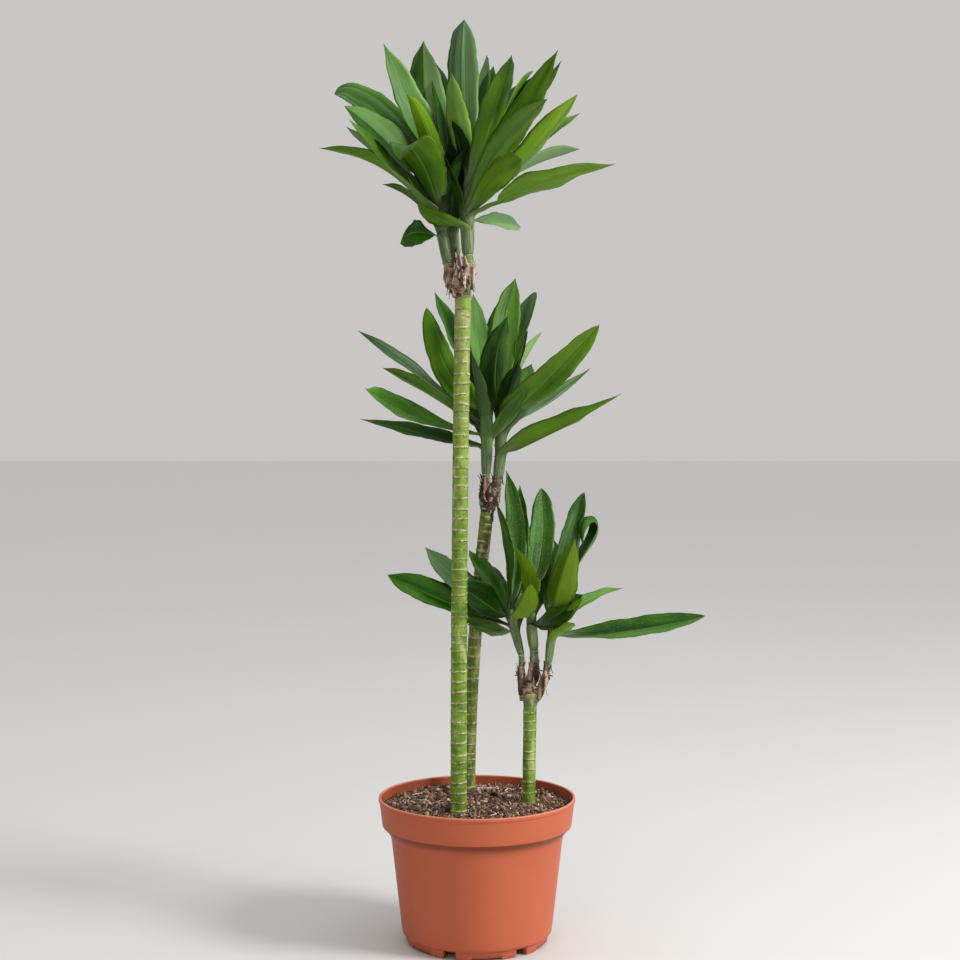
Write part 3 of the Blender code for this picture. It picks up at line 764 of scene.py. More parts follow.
@dataclass(frozen=True)
class BarkFinish:
    """Ringed green stem: pale ragged scars, with a dark edge below each.

    The scars trait counts the scars, so that its fraction is 0 at a scar and grows to 1 at the
    next. The age trait grows from fresh to weathered; on the middle cane the weathered colour is
    dark and partly paints the shade that its leaves cast on its top.
    """

    name: str
    light: Colour
    deep: Colour
    scar: Colour = (0.56, 0.58, 0.27)
    stain: Colour = (0.065, 0.044, 0.012)
    weathering_and_shade: Colour = (0.29, 0.26, 0.085)
    dead: Colour = (0.34, 0.24, 0.15)

    def material(self) -> bpy.types.Material:
        """Make the bark from its streaks, patches, scars and the stains under them.

        Returns:
            The material.
        """
        board = Board(self.name)
        scars, age = board.trait("scars"), board.trait("age")
        place = board.place()
        streaks = board.noise(board.place((1, 1, 0.10)), 460, 3, 0.6)
        patch = board.noise(place, 70, 4, 0.6)
        ragged = board.noise(place, 520, 4, 0.7)
        phase = (scars + (ragged - 0.5) * 0.26).part()
        near = phase.least(1 - phase)
        fade = board.noise(board.place((1, 1, 0.4)), 170, 3, 0.6)
        scar = near.between(0.13, 0.03) * fade.between(0.39, 0.60)
        under = phase.between(0.62, 0.90) * (1 - phase.between(0.94, 0.99))
        above = phase.between(0.34, 0.04)
        green = board.blend(patch.between(0.32, 0.70), self.deep, self.light)
        green = board.blend(streaks.between(0.35, 0.75) * 0.40, green, self.light)
        # Patches turn to the weathered colour towards the top; on the middle cane this is dark and partly
        # painted shade from its leaves.
        green = board.blend(age.between(0.1, 1.0) * patch.between(0.62, 0.36) * 0.75, green, self.weathering_and_shade)
        green = board.blend(above * streaks.between(0.30, 0.70) * 0.60, green, self.deep)
        smear = board.noise(board.place((1, 1, 0.6)), 120, 3, 0.6).between(0.44, 0.62)
        halo = near.between(0.34, 0.08) * smear
        green = board.blend(halo * (0.30 + 0.25 * age), green, self.scar)
        dead = board.noise(place, 110, 5, 0.65).between(0.55, 0.66) * age.between(0.0, 0.9)
        colour = board.blend(dead * 0.8, green, self.dead)
        blots = under * board.noise(board.place((1, 1, 0.5)), 210, 3, 0.6).between(0.40, 0.56)
        colour = board.blend(blots * 0.62, colour, self.stain)
        colour = board.blend(scar * 0.9, colour, self.scar)
        flecks = board.spots(place, 420).between(0.34, 0.12) * board.noise(place, 130).between(0.46, 0.60)
        colour = board.blend(flecks * 0.65, colour, self.stain)
        pallor = board.noise(board.place((1, 1, 0.3)), 95, 3, 0.55).between(0.55, 0.72)
        colour = board.blend(pallor * (0.42 + 0.3 * age), colour, self.scar)
        relief = board.relief(scar - under * 0.7 + streaks * 0.45 + ragged * 0.4, 0.0008)
        rough = 0.36 + 0.34 * scar + 0.25 * dead + 0.12 * patch
        return board.finish(Base_Color=colour, Roughness=rough, Specular_IOR_Level=0.15, Normal=relief)


@dataclass(frozen=True)
class PaperFinish:
    """Dry papery remains of old leaf bases, from dark brown to bleached."""

    name: str = "dry_paper"
    stops: Tuple[Tuple[float, Colour], ...] = (
        (0.0, (0.020, 0.010, 0.005)), (0.3, (0.085, 0.046, 0.026)), (0.55, (0.31, 0.195, 0.130)),
        (0.8, (0.55, 0.40, 0.30)), (1.0, (0.74, 0.70, 0.56)))

    def material(self) -> bpy.types.Material:
        """Make the paper: each scrap has its own tone, with fibres along it.

        Returns:
            The material.
        """
        board = Board(self.name)
        around, along = board.span()
        tone = board.trait("tone")
        fibres = board.noise(board.at(around * 40, along * 2, tone * 50), 2.0, 3, 0.6)
        fine = board.noise(board.place(), 800, 3, 0.6)
        shade = board.ramp(tone + (fibres - 0.5) * 0.40 + (fine - 0.5) * 0.35, self.stops)
        return board.finish(Base_Color=shade, Roughness=0.85, Normal=board.relief(fibres + fine, 0.0006))


@dataclass(frozen=True)
class LeafFinish:
    """Waxy leaf: deep green above, yellower below partly as painted light shining through, grey-green where
    it clasps the shoot.
    """

    name: str
    upper: Tuple[Tuple[float, Colour], ...] = (
        (0.0, (0.0060, 0.031, 0.0006)), (0.25, (0.015, 0.070, 0.0014)), (0.5, (0.046, 0.146, 0.0075)),
        (0.75, (0.090, 0.230, 0.019)), (1.0, (0.165, 0.340, 0.052)))
    # The underside ramp is yellower partly as painted light shining through the leaf.
    under: Tuple[Tuple[float, Colour], ...] = (
        (0.0, (0.0045, 0.024, 0.0006)), (0.25, (0.025, 0.086, 0.0020)), (0.5, (0.072, 0.176, 0.0052)),
        (0.75, (0.118, 0.250, 0.0090)), (1.0, (0.190, 0.340, 0.014)))
    clasp: Colour = (0.120, 0.155, 0.072)
    bloom_and_sheen: Colour = (0.180, 0.285, 0.130)
    lime_and_backlight: Colour = (0.200, 0.330, 0.006)
    stripe: Colour = (0.140, 0.245, 0.120)
    rib: Colour = (0.160, 0.300, 0.035)
    edge: Colour = (0.240, 0.370, 0.070)
    chalk: Colour = (0.30, 0.37, 0.25)
    dry: Colour = (0.150, 0.070, 0.028)
    droplet: Colour = (0.42, 0.60, 0.38)

    def material(self) -> bpy.types.Material:
        """Make the leaf.

        The map runs round the blade, its upper side in the first half and its underside in the
        second, so 1 less 4 times the distance from 0.5 is 0 at the midrib and 1 or -1 at a margin.

        Returns:
            The material.
        """
        board = Board(self.name)
        around, along = board.span()
        shade, hue, clasp = board.trait("shade"), board.trait("hue"), board.trait("clasp")
        place = board.place()
        below = around.between(0.497, 0.503)
        side = 1 - abs(around - 0.5) * 4
        off = abs(side)
        lines = board.noise(board.at(side * 20, along * 1.3, shade * 90), 1.0, 4, 0.6)
        bands = board.noise(board.at(side * 4.5, along * 0.7, shade * 310), 1.0, 2, 0.5)
        patch = board.noise(place, 24, 3, 0.55)
        swathe = board.noise(board.at(side * 1.6, along * 2.2, shade * 170 + 5), 1.0, 2, 0.5)
        # tone follows shade, whose low values partly paint the shadow deep in the crown.
        tone = shade + (patch - 0.5) * 0.45 + (lines - 0.5) * 0.30 + (swathe - 0.5) * 0.85
        # Painted light and shade: split makes one half of the blade paler and the other darker.
        split = (side.between(-0.06, 0.06) - 0.5) * board.trait("split")
        tone = tone + (off.between(0.15, 0.9) - 0.5) * 0.07 + split
        colour = board.blend(below, board.ramp(tone, self.upper), board.ramp(tone, self.under))
        # A positive hue blends towards lime, partly painted light shining through the leaf.
        colour = board.blend((hue * 0.75).most(0.0), colour, self.lime_and_backlight)
        # A negative hue blends towards bloom, partly a painted sheen of reflected sky, more so on the paler
        # half.
        colour = board.blend((hue * -0.75 + split * 0.9).most(0.0), colour, self.bloom_and_sheen)
        # Pale bands, partly painted sheen, stronger on the paler half of the blade.
        pale_band_sheen = bands.between(0.42, 0.68) * board.trait("stripe") * (1 + split * 3).most(0.0) * (1 - below)
        colour = board.blend((pale_band_sheen * 0.85).least(0.9), colour, self.stripe)
        rib = off.between(0.085, 0.015) * along.between(0.98, 0.55)
        colour = board.blend(rib * 0.32, colour, self.rib)
        edge = off.between(0.955, 0.995)
        colour = board.blend(edge * 0.7, colour, self.edge)
        old = clasp * (0.55 + 0.45 * lines)
        colour = board.blend(old, colour, self.clasp)
        flour = board.noise(board.at(side * 9, along * 5, shade * 40), 1.0, 4, 0.6)
        colour = board.blend(clasp * flour.between(0.48, 0.66) * 0.55, colour, self.chalk)
        wear = (board.trait("wear") + (lines - 0.5) * 0.7).between(0.35, 0.65)
        colour = board.blend(wear, colour, self.dry)
        drops = board.spots(place, 430).between(0.32, 0.14)
        drops = drops * board.trait("dew") * board.noise(place, 190).between(0.38, 0.52)
        colour = board.blend(drops * 0.5, colour, self.droplet)
        rough = 0.25 + 0.12 * lines + 0.12 * below + 0.2 * clasp - 0.08 * drops
        height = lines * 0.7 + drops * 1.6 - rib * 0.9 + bands * 0.9
        relief = board.relief(height, 0.0007, 0.8)
        return board.finish(Base_Color=colour, Roughness=rough, Specular_IOR_Level=0.12, Normal=relief)


# ---------------------------------------------------------------- pot and soil


@dataclass
class NurseryPot:
    """The pot: a turned wall with a collar band, on a notched foot ring. Sizes in metres."""

    height: float = 155 * MM
    rim_radius: float = 105 * MM
    collar_depth: float = 29.5 * MM
    collar_foot_radius: float = 101 * MM
    body_top_radius: float = 92 * MM
    body_foot_radius: float = 80 * MM
    shoulder_depth: float = 9.5 * MM
    wall: float = 2 * MM
    foot_height: float = 10 * MM
    foot_radius: float = 76 * MM
    floor_top: float = 9 * MM
    notch_count: int = 6
    notch_width: float = 14 * MM
    notch_top: float = 8.4 * MM
    notch_inner: float = 62 * MM
    first_notch: float = 247.8
    arch_width: float = 32 * MM
    arch_top: float = 2 * MM
    arch_inner: float = 66 * MM
    even_steps: int = 240
    edge_gap: float = 4e-4

    def profile(self) -> Array:
        """Corners from the underside's middle, up the outside and in to the floor, in mm.

        Returns:
            Rows of radius, height and how far from the corner its rounding begins.
        """
        height, rim = self.height / MM, self.rim_radius / MM
        collar, band = height - self.collar_depth / MM, self.collar_foot_radius / MM
        top, low, foot = self.body_top_radius / MM, self.body_foot_radius / MM, self.foot_radius / MM
        step, floor, wall = self.foot_height / MM, self.floor_top / MM, self.wall / MM
        return np.array([
            (0.5, 0, 1), (56, 0, 1), (57, 6, 1), (69, 6, 1), (70, 0, 1), (foot - 1, 0, 1),
            (foot + 0.4, step - 1.4, 1.2), (low - 0.6, step + 0.2, 1.2), (low + 0.3, step + 3, 3),
            (top, collar - self.shoulder_depth / MM, 7), (band - 0.4, collar - 0.5, 0.5),
            (band, collar, 0.5), (rim - 1, height - 4.8, 1), (rim, height - 3.8, 0.8),
            (rim, height, 1.2), (rim - 2.6, height, 0.8), (rim - 3, height - 1, 1),
            (band - wall, collar, 3), (top - wall, collar - self.shoulder_depth / MM, 3),
            (low - wall, floor + 4, 3), (low - wall - 3, floor, 2), (0.5, floor, 1)], float)

    @staticmethod
    def eased(corners: Array, count: int = 7) -> Array:
        """Round each corner: a quadratic curve from its reach before it to its reach after it.

        Args:
            corners: rows of radius, height and reach, in mm.
            count: points on each curve.

        Returns:
            Rows of radius and height in metres.
        """
        before, here, after = corners[:-2, :2], corners[1:-1, :2], corners[2:, :2]
        reach = corners[1:-1, 2:]
        back, ahead = before - here, after - here
        length = np.linalg.norm(back, axis=1, keepdims=True), np.linalg.norm(ahead, axis=1, keepdims=True)
        start = here + back / length[0] * np.minimum(reach, length[0] * 0.45)
        end = here + ahead / length[1] * np.minimum(reach, length[1] * 0.45)
        share = np.linspace(0, 1, count)[None, :, None]
        curve = (start[:, None] * (1 - share) ** 2 + here[:, None] * 2 * share * (1 - share)
                 + end[:, None] * share ** 2)
        return np.vstack([corners[:1, :2], curve.reshape(-1, 2), corners[-1:, :2]]) * MM

    def azimuths(self) -> Array:
        """Lay out angles round the pot: even steps, and a close pair at each side of a notch or arch.

        Returns:
            The angles in radians, rising.
        """
        step = 2 * np.pi / self.notch_count
        middles = math.radians(self.first_notch) + step * np.arange(self.notch_count)
        edges = [start + sign * width / 2 / self.foot_radius + shift
                 for start, width in ((middles, self.notch_width), (middles + step / 2, self.arch_width))
                 for sign in (-1, 1) for shift in (-self.edge_gap, self.edge_gap)]
        every = np.concatenate([turns(self.even_steps)] + edges)
        return np.unique(np.mod(every, 2 * np.pi).round(7))

    def cut_foot(self, radius: Array, height: Array, azimuth: Array) -> Array:
        """Raise the foot ring's underside in the notches and arches.

        Args:
            radius: of each ring, as a column.
            height: of each ring, as a column.
            azimuth: angles round the pot, as a row.

        Returns:
            The height of every point.
        """
        step = 2 * np.pi / self.notch_count
        turn = np.abs(np.mod(azimuth - math.radians(self.first_notch) + step / 2, step) - step / 2)
        notch = (turn < self.notch_width / 2 / self.foot_radius) & (radius > self.notch_inner)
        beside = np.abs(turn - step / 2) < self.arch_width / 2 / self.foot_radius
        arch = beside & (radius > self.arch_inner)
        lifted = np.where(notch & (height < self.notch_top), self.notch_top, height)
        return np.where(arch & (height < self.arch_top), self.arch_top, lifted)

    def skin(self) -> Skin:
        """Turn the profile about Z: radius times cosine and sine of the azimuth, and its height.

        Returns:
            The pot's skin.
        """
        profile = self.eased(self.profile())
        azimuth = self.azimuths()
        radius, height = profile[:, :1], profile[:, 1:]
        return sweep(polar(azimuth, radius, self.cut_foot(radius, height, azimuth)))

    def build(self) -> None:
        """Make the pot."""
        make_piece("nursery_pot", self.skin(), PlasticFinish().material(), ["pot"])


@dataclass
class PottingSoil:
    """The potting mix: an uneven top on a plain body, with loose crumbs and root threads.

    below gives radii and heights in mm of the body's outline inside the pot.
    """

    edge_radius: float = 100.4 * MM
    centre_level: float = 147.6 * MM
    edge_level: float = 145.6 * MM
    crumb_count: int = 2100
    seed: int = 5
    below: Tuple[Tuple[float, float], ...] = (
        (98, 124), (89.6, 114), (77.5, 13.5), (74.5, 9.4), (0.4, 9.4))

    def level(self, places: Array) -> Array:
        """Find the height of the soil: a low crown with humps on it, 24, 9 and 3.5 mm wide.

        Args:
            places: points, of which x and y count.

        Returns:
            A height for each point.
        """
        flat = places * np.array([1.0, 1.0, 0.0])
        radius = np.linalg.norm(flat, axis=-1)
        crown = self.centre_level + (self.edge_level - self.centre_level) * (radius / self.edge_radius) ** 3
        humps = 1.1 * grain(flat, 0.024, 1) + 1.0 * grain(flat, 0.009, 2) + 0.6 * grain(flat, 0.0035, 3)
        return crown + humps * MM

    def body(self) -> Skin:
        """Turn the soil: from the middle of its top out to the wall, and down inside the pot.

        Returns:
            The soil's skin.
        """
        reach = np.concatenate([np.linspace(0.4 * MM, self.edge_radius, 90), [100.2 * MM]])
        below = np.array(self.below) * MM
        rings = polar(turns(220), np.concatenate([reach, below[:, 0]])[:, None])
        rings[..., 2] = self.level(rings)
        rings[len(reach) - 1, :, 2] -= 3 * MM
        rings[len(reach):, :, 2] = below[:, 1:]
        return sweep(rings)

    def crumbs(self) -> Skin:
        """Scatter crumbs: small balls, stretched three ways, turned at random and made lumpy.

        Returns:
            One skin of all the crumbs.
        """
        dice = np.random.default_rng(self.seed)
        count = self.crumb_count
        radius = (self.edge_radius - 1.5 * MM) * np.sqrt(dice.random(count))
        azimuth = dice.random(count) * 2 * np.pi
        size = dice.gamma(2.6, 0.34, count)[:, None] * MM * dice.uniform(0.4, 1.4, (count, 3)) + 0.3 * MM
        tone = np.clip(dice.normal(0.52, 0.22, count), 0.02, 0.88)
        pale = dice.random(count) < 0.018
        tone[pale] = 1.05
        size[pale] = dice.uniform(0.6, 1.1, (int(pale.sum()), 1)) * MM
        chips = (dice.random(count) < 0.24) & ~pale
        size[chips] *= np.array([2.6, 0.8, 0.5])
        w, x, y, z = unit(dice.normal(size=(count, 4))).T
        turn = np.stack([1 - 2 * (y * y + z * z), 2 * (x * y - z * w), 2 * (x * z + y * w),
                         2 * (x * y + z * w), 1 - 2 * (x * x + z * z), 2 * (y * z - x * w),
                         2 * (x * z - y * w), 2 * (y * z + x * w), 1 - 2 * (x * x + y * y)],
                        axis=-1).reshape(-1, 3, 3)
        tilt = np.linspace(0.35, np.pi - 0.35, 5)[:, None]
        ball = polar(turns(7), np.sin(tilt), np.cos(tilt))
        middle = polar(azimuth, radius)
        middle[:, 2] = self.level(middle) + size.min(1) * 0.35
        lumps = 1 + 0.42 * grain(ball[None] + middle[:, None, None] * 90, 0.8, 9)[..., None]
        points = np.einsum("nij,nrsj->nrsi", turn, ball[None] * lumps * size[:, None, None])
        return joined([sweep(points[i] + middle[i], tone=tone[i]) for i in range(count)])

    def threads(self) -> Skin:
        """Lay a few pale root threads on the crumbs, each a thin tube along a loose curve.

        Returns:
            One skin of all the threads.
        """
        runs = [((-24, 60), (-8, 63.5), (9, 62), (21, 66)), ((30, 40), (33, 46), (31, 55), (34, 60)),
                ((-62, 8), (-54, 3), (-50, -6)), ((14, -66), (20, -58), (17, -50)),
                ((-70, 30), (-62, 36), (-60, 45))]
        skins = []
        for run in runs:
            knots = np.array([(x * MM, y * MM, 0.0) for x, y in run])
            knots[:, 2] = self.level(knots) + 2.2 * MM
            path = smooth_path(knots, 40)
            skins.append(sweep(tube_rings(path, np.full(40, 0.5 * MM), 6, UP), tone=0.93))
        return joined(skins)

    def build(self) -> None:
        """Make the soil, its crumbs and its threads."""
        finish = SoilFinish()
        make_piece("potting_soil", self.body(), finish.ground(), ["soil"])
        loose = joined([self.crumbs(), self.threads()])
        make_piece("soil_crumbs", loose, finish.crumbs())


# ---------------------------------------------------------------- stems


@dataclass
class RingedStem:
    """A stem marked by the scars of the leaves that it once carried."""

    path: Array
    radii: Array
    spacing: float
    sides: int
    seed: int
    swell: float = 0.035
    aged: Tuple[float, float] = (2.0, 3.0)

    def __post_init__(self) -> None:
        """Measure the path, and draw where each scar lies and how it tilts."""
        dice = np.random.default_rng(self.seed)
        steps = np.linalg.norm(np.diff(self.path, axis=0), axis=1)
        self.travelled = np.concatenate([[0], np.cumsum(steps)])
        gaps = np.clip(dice.normal(1.0, 0.22, 200), 0.5, 1.5) * self.spacing
        self.marks = np.concatenate([[-self.spacing], np.cumsum(gaps)])
        self.tilts = dice.uniform(0.0, 1.1, len(self.marks)) * MM
        self.leans = np.cumsum(dice.uniform(1.5, 4.5, len(self.marks)))

    def skin(self) -> Skin:
        """Sweep a ring along the path, swollen at each leaf scar.

        The count of scars is read off along the path at a place shifted by the scar's own tilt
        and a little noise. The radius grows by a bell curve round every scar.

        Returns:
            The stem's skin.
        """
        rings = tube_rings(self.path, self.radii, self.sides, FRONT)
        angle = turns(self.sides)
        tilt = np.interp(self.travelled, self.marks, self.tilts)[:, None]
        lean = np.interp(self.travelled, self.marks, self.leans)[:, None]
        shift = tilt * np.cos(angle - lean) + 0.4 * MM * grain(rings, 0.004, self.seed)
        count = np.interp(self.travelled[:, None] + shift, self.marks, np.arange(len(self.marks)))
        away = np.abs(count - np.round(count)) * self.spacing / MM
        bulge = 1 + self.swell * np.exp(-(away / 1.4) ** 2) + 0.03 * grain(rings, 0.012, self.seed + 1)
        rings = tube_rings(self.path, self.radii[:, None] * bulge, self.sides, FRONT)
        share = self.travelled / self.travelled[-1]
        return sweep(rings, scars=count, age=smooth(share, *self.aged)[:, None])

    def flakes(self, chance: float) -> List[Skin]:
        """Cut torn edges of old leaf bases that stand off the scars.

        Each is a low ribbon along an arc at a scar's height. Its four corners run from inside
        the stem to a ragged edge that leans outwards.

        Args:
            chance: how many of the scars carry a flake, from 0 to 1, tried three times each.

        Returns:
            The flakes' skins.
        """
        dice = np.random.default_rng(self.seed + 500)
        along = unit(np.gradient(self.path, axis=0))
        across = unit(np.cross(FRONT, along))
        third = np.cross(along, across)
        skins = []
        for mark, tilt, lean in zip(self.marks, self.tilts, self.leans):
            if not 0.004 < mark < self.travelled[-1] - 0.002:
                continue
            index = int(np.searchsorted(self.travelled, mark))
            for _ in range(3):
                if dice.random() > chance:
                    continue
                start, turn = dice.uniform(0, 2 * np.pi), dice.uniform(0.35, 1.5)
                angle = (start + np.linspace(0, turn, 9))[:, None]
                fade = np.sin(np.linspace(0.15, np.pi - 0.15, 9))[:, None]
                tall = fade * dice.uniform(0.4, 1.2, (9, 1)) * dice.uniform(0.4, 1.2)
                out = fade * dice.uniform(0.3, 1.0, (9, 1)) + 0.35
                lift = np.hstack([np.full((9, 1), -0.6), tall * 0.2 - 0.1, tall, tall + 0.25]) * MM
                reach = np.hstack([np.full((9, 1), -0.5), out * 0.6, out, out - 0.5]) * MM
                radius = self.radii[index] * (1 + self.swell) + reach
                level = lift - tilt * np.cos(angle - lean)
                points = (self.path[index] + across[index] * (np.cos(angle) * radius)[..., None]
                          + third[index] * (np.sin(angle) * radius)[..., None]
                          + along[index] * level[..., None])
                skins.append(sweep(points, tone=dice.uniform(0.45, 1.0)))
        return skins


def cane_path(cane: Cane) -> Array:
    """Follow a cane's axis: straight below the soil, then leaning by a power of the height.

    Args:
        cane: its place, top and bend.

    Returns:
        Points in metres, from inside the soil to the cane's top.
    """
    height = np.linspace(CANE_START, cane.top[2], int((cane.top[2] - CANE_START) / RING_STEP))
    share = np.clip((height - SOIL_LEVEL) / (cane.top[2] - SOIL_LEVEL), 0, 1) ** cane.bend
    x = cane.foot[0] + (cane.top[0] - cane.foot[0]) * share
    y = cane.foot[1] + (cane.top[1] - cane.foot[1]) * share
    return np.stack([x, y, height], axis=-1) * MM


def shoot_knots(shoot: Shoot) -> Array:
    """Points of a shoot's axis, from its cane's top, in mm."""
    return np.array([(*shoot.points[0], CANES[shoot.cane].top[2]), *shoot.points[1:]], float)


def shoot_at(shoot: Shoot, height: Array) -> Tuple[Array, Array]:
    """Find a shoot's axis, straight between its points, and its thickness.

    Args:
        shoot: the shoot.
        height: heights in mm.

    Returns:
        Axis points in metres, and radii that halve from the foot to the top.
    """
    knots = shoot_knots(shoot)
    share = (np.asarray(height) - knots[0, 2]) / (knots[-1, 2] - knots[0, 2])
    x, y = (np.interp(height, knots[:, 2], knots[:, axis]) for axis in range(2))
    points = np.stack([x, y, np.asarray(height) * np.ones_like(x)], axis=-1)
    return points * MM, shoot.radius * MM * (1 - 0.5 * np.clip(share, 0, 1))


@dataclass
class Remnants:
    """The knotty top of a cane, wrapped in the dry scraps and threads of old leaf bases.

    Heights and radii are in mm: centre gives the knot's axis at its low and high end, and tilt is
    how much higher the low end is on the right. spread names the shoots that carry scraps, and
    from where to where. cuffs names those wrapped in an old sheath, from where to where, and how
    far it stands off them.
    """

    name: str
    centre: Tuple[Tuple[float, float, float], Tuple[float, float, float]]
    radii: Tuple[float, ...]
    scraps: int
    spread: Tuple[Tuple[str, float, float], ...]
    cuffs: Tuple[Tuple[str, float, float, float], ...]
    tone: float
    seed: int
    tilt: float = 0.0
    scraps_per_mm: float = 0.6
    stub_chance: float = 0.12

    def radius(self, share: Array) -> Array:
        """Radius of the knot in metres at shares of its height."""
        return np.interp(share, np.linspace(0, 1, len(self.radii)), self.radii) * MM

    def knot(self) -> Skin:
        """Sweep a lumpy ring along the knot's axis, with radii blended between those given.

        Returns:
            The knot's skin.
        """
        low, high = np.array(self.centre, float) * MM
        share = np.linspace(0, 1, 44)
        path = low + (high - low) * share[:, None]
        radius = self.radius(share)[:, None]
        rings = tube_rings(path, radius, 40, FRONT)
        lumps = 1 + 0.13 * grain(rings, 0.007, self.seed) + 0.10 * grain(rings, 0.003, self.seed + 1)
        rings = tube_rings(path, radius * lumps, 40, FRONT)
        right = (rings[..., 0] - path[:, :1]) / radius
        rings[..., 2] += self.tilt * MM * (1 - share[:, None]) * np.clip(right, 0, 1)
        tone = self.tone - 0.16 + 0.55 * grain(rings, 0.005, self.seed + 2)
        return sweep(rings, tone=tone)

    def cuff(self, shoot: str, bottom: float, top: float, thick: float) -> Skin:
        """Wrap the foot of a shoot in an old sheath: a streaky ring along it, torn at its top.

        Args:
            shoot: name of the shoot.
            bottom: height where the sheath begins, in mm.
            top: height where it ends, in mm.
            thick: how far it stands off the shoot, in mm.

        Returns:
            The sheath's skin.
        """
        share = np.linspace(0, 1, 30)
        path, radius = shoot_at(SHOOTS[shoot], bottom + (top - bottom) * share)
        radius = (radius + thick * MM * (1 - share ** 5))[:, None]
        rings = tube_rings(path, radius, 28, FRONT)
        streak = grain(rings * np.array([1.0, 1.0, 0.12]), 0.0028, self.seed + 7)
        lumps = 1 + 0.10 * streak + 0.07 * grain(rings, 0.005, self.seed + 8)
        rings = tube_rings(path, radius * lumps, 28, FRONT)
        rings[..., 2] += share[:, None] ** 2 * 3.5 * MM * streak
        return sweep(rings, tone=self.tone - 0.14 + 0.60 * streak)

    def scrap(self, root: Array, outward: Array, radius: float, dice: np.random.Generator) -> Skin:
        """Lay a torn strip: it runs up the bark for its length and curls away at its free end.

        Args:
            root: where the strip starts, on the stem's axis.
            outward: unit direction from the axis to the strip.
            radius: of the stem there.
            dice: source of its size and curl.

        Returns:
            The strip's skin.
        """
        length, width = dice.uniform(4, 12) * MM, dice.uniform(1.6, 4.8) * MM
        way = 1 if dice.random() < 0.7 else -1
        share = np.linspace(0, 1, 9)
        side = np.cross(UP, outward)
        off = radius + 0.4 * MM + dice.uniform(0.1, 1.0) ** 2 * 3.2 * MM * share ** 2.5
        drift = dice.uniform(-4, 4) * MM * share
        middle = (root + outward * off[:, None] + side * drift[:, None]
                  + UP * (way * length * share)[:, None])
        half = (width / 2 * (1 - 0.75 * share ** 2) * (0.8 + 0.3 * dice.random(9)))[:, None]
        hug = -half ** 2 / (2 * radius) * 1.6
        left = middle - side * half + outward * hug
        right = middle + side * half + outward * hug
        deep = outward * 0.35 * MM
        rings = np.stack([left, middle + deep, right, middle - deep], axis=1)
        return sweep(rings, tone=self.tone + dice.normal(0, 0.20))

    def skin(self) -> Skin:
        """Join the knot, the cuffs, the scraps, and the stubs on the shoots above it.

        Returns:
            One skin of them all.
        """
        dice = np.random.default_rng(self.seed)
        low, high = np.array(self.centre, float) * MM
        skins = [self.knot()] + [self.cuff(*cuff) for cuff in self.cuffs]
        for _ in range(self.scraps):
            share, angle = dice.random(), dice.uniform(0, 2 * np.pi)
            outward = spoke(angle)
            raised = UP * self.tilt * MM * (1 - share) * max(0.0, float(outward[0]))
            root = low + (high - low) * share + raised
            skins.append(self.scrap(root, outward, float(self.radius(share)), dice))
        for shoot, bottom, top in self.spread:
            for _ in range(int((top - bottom) * self.scraps_per_mm)):
                point, radius = shoot_at(SHOOTS[shoot], dice.uniform(bottom, top))
                outward = spoke(dice.uniform(0, 2 * np.pi))
                skins.append(self.scrap(point, outward, float(radius), dice))
                if dice.random() < self.stub_chance:
                    reach = outward * (radius + dice.uniform(3, 7) * MM)
                    tip = point + reach + UP * dice.uniform(-2, 3) * MM
                    path = smooth_path(np.array([point, point + outward * radius, tip]), 8)
                    stub = np.linspace(1.2, 0.5, 8) * MM
                    skins.append(sweep(tube_rings(path, stub, 6, UP), tone=0.12))
        return joined(skins)


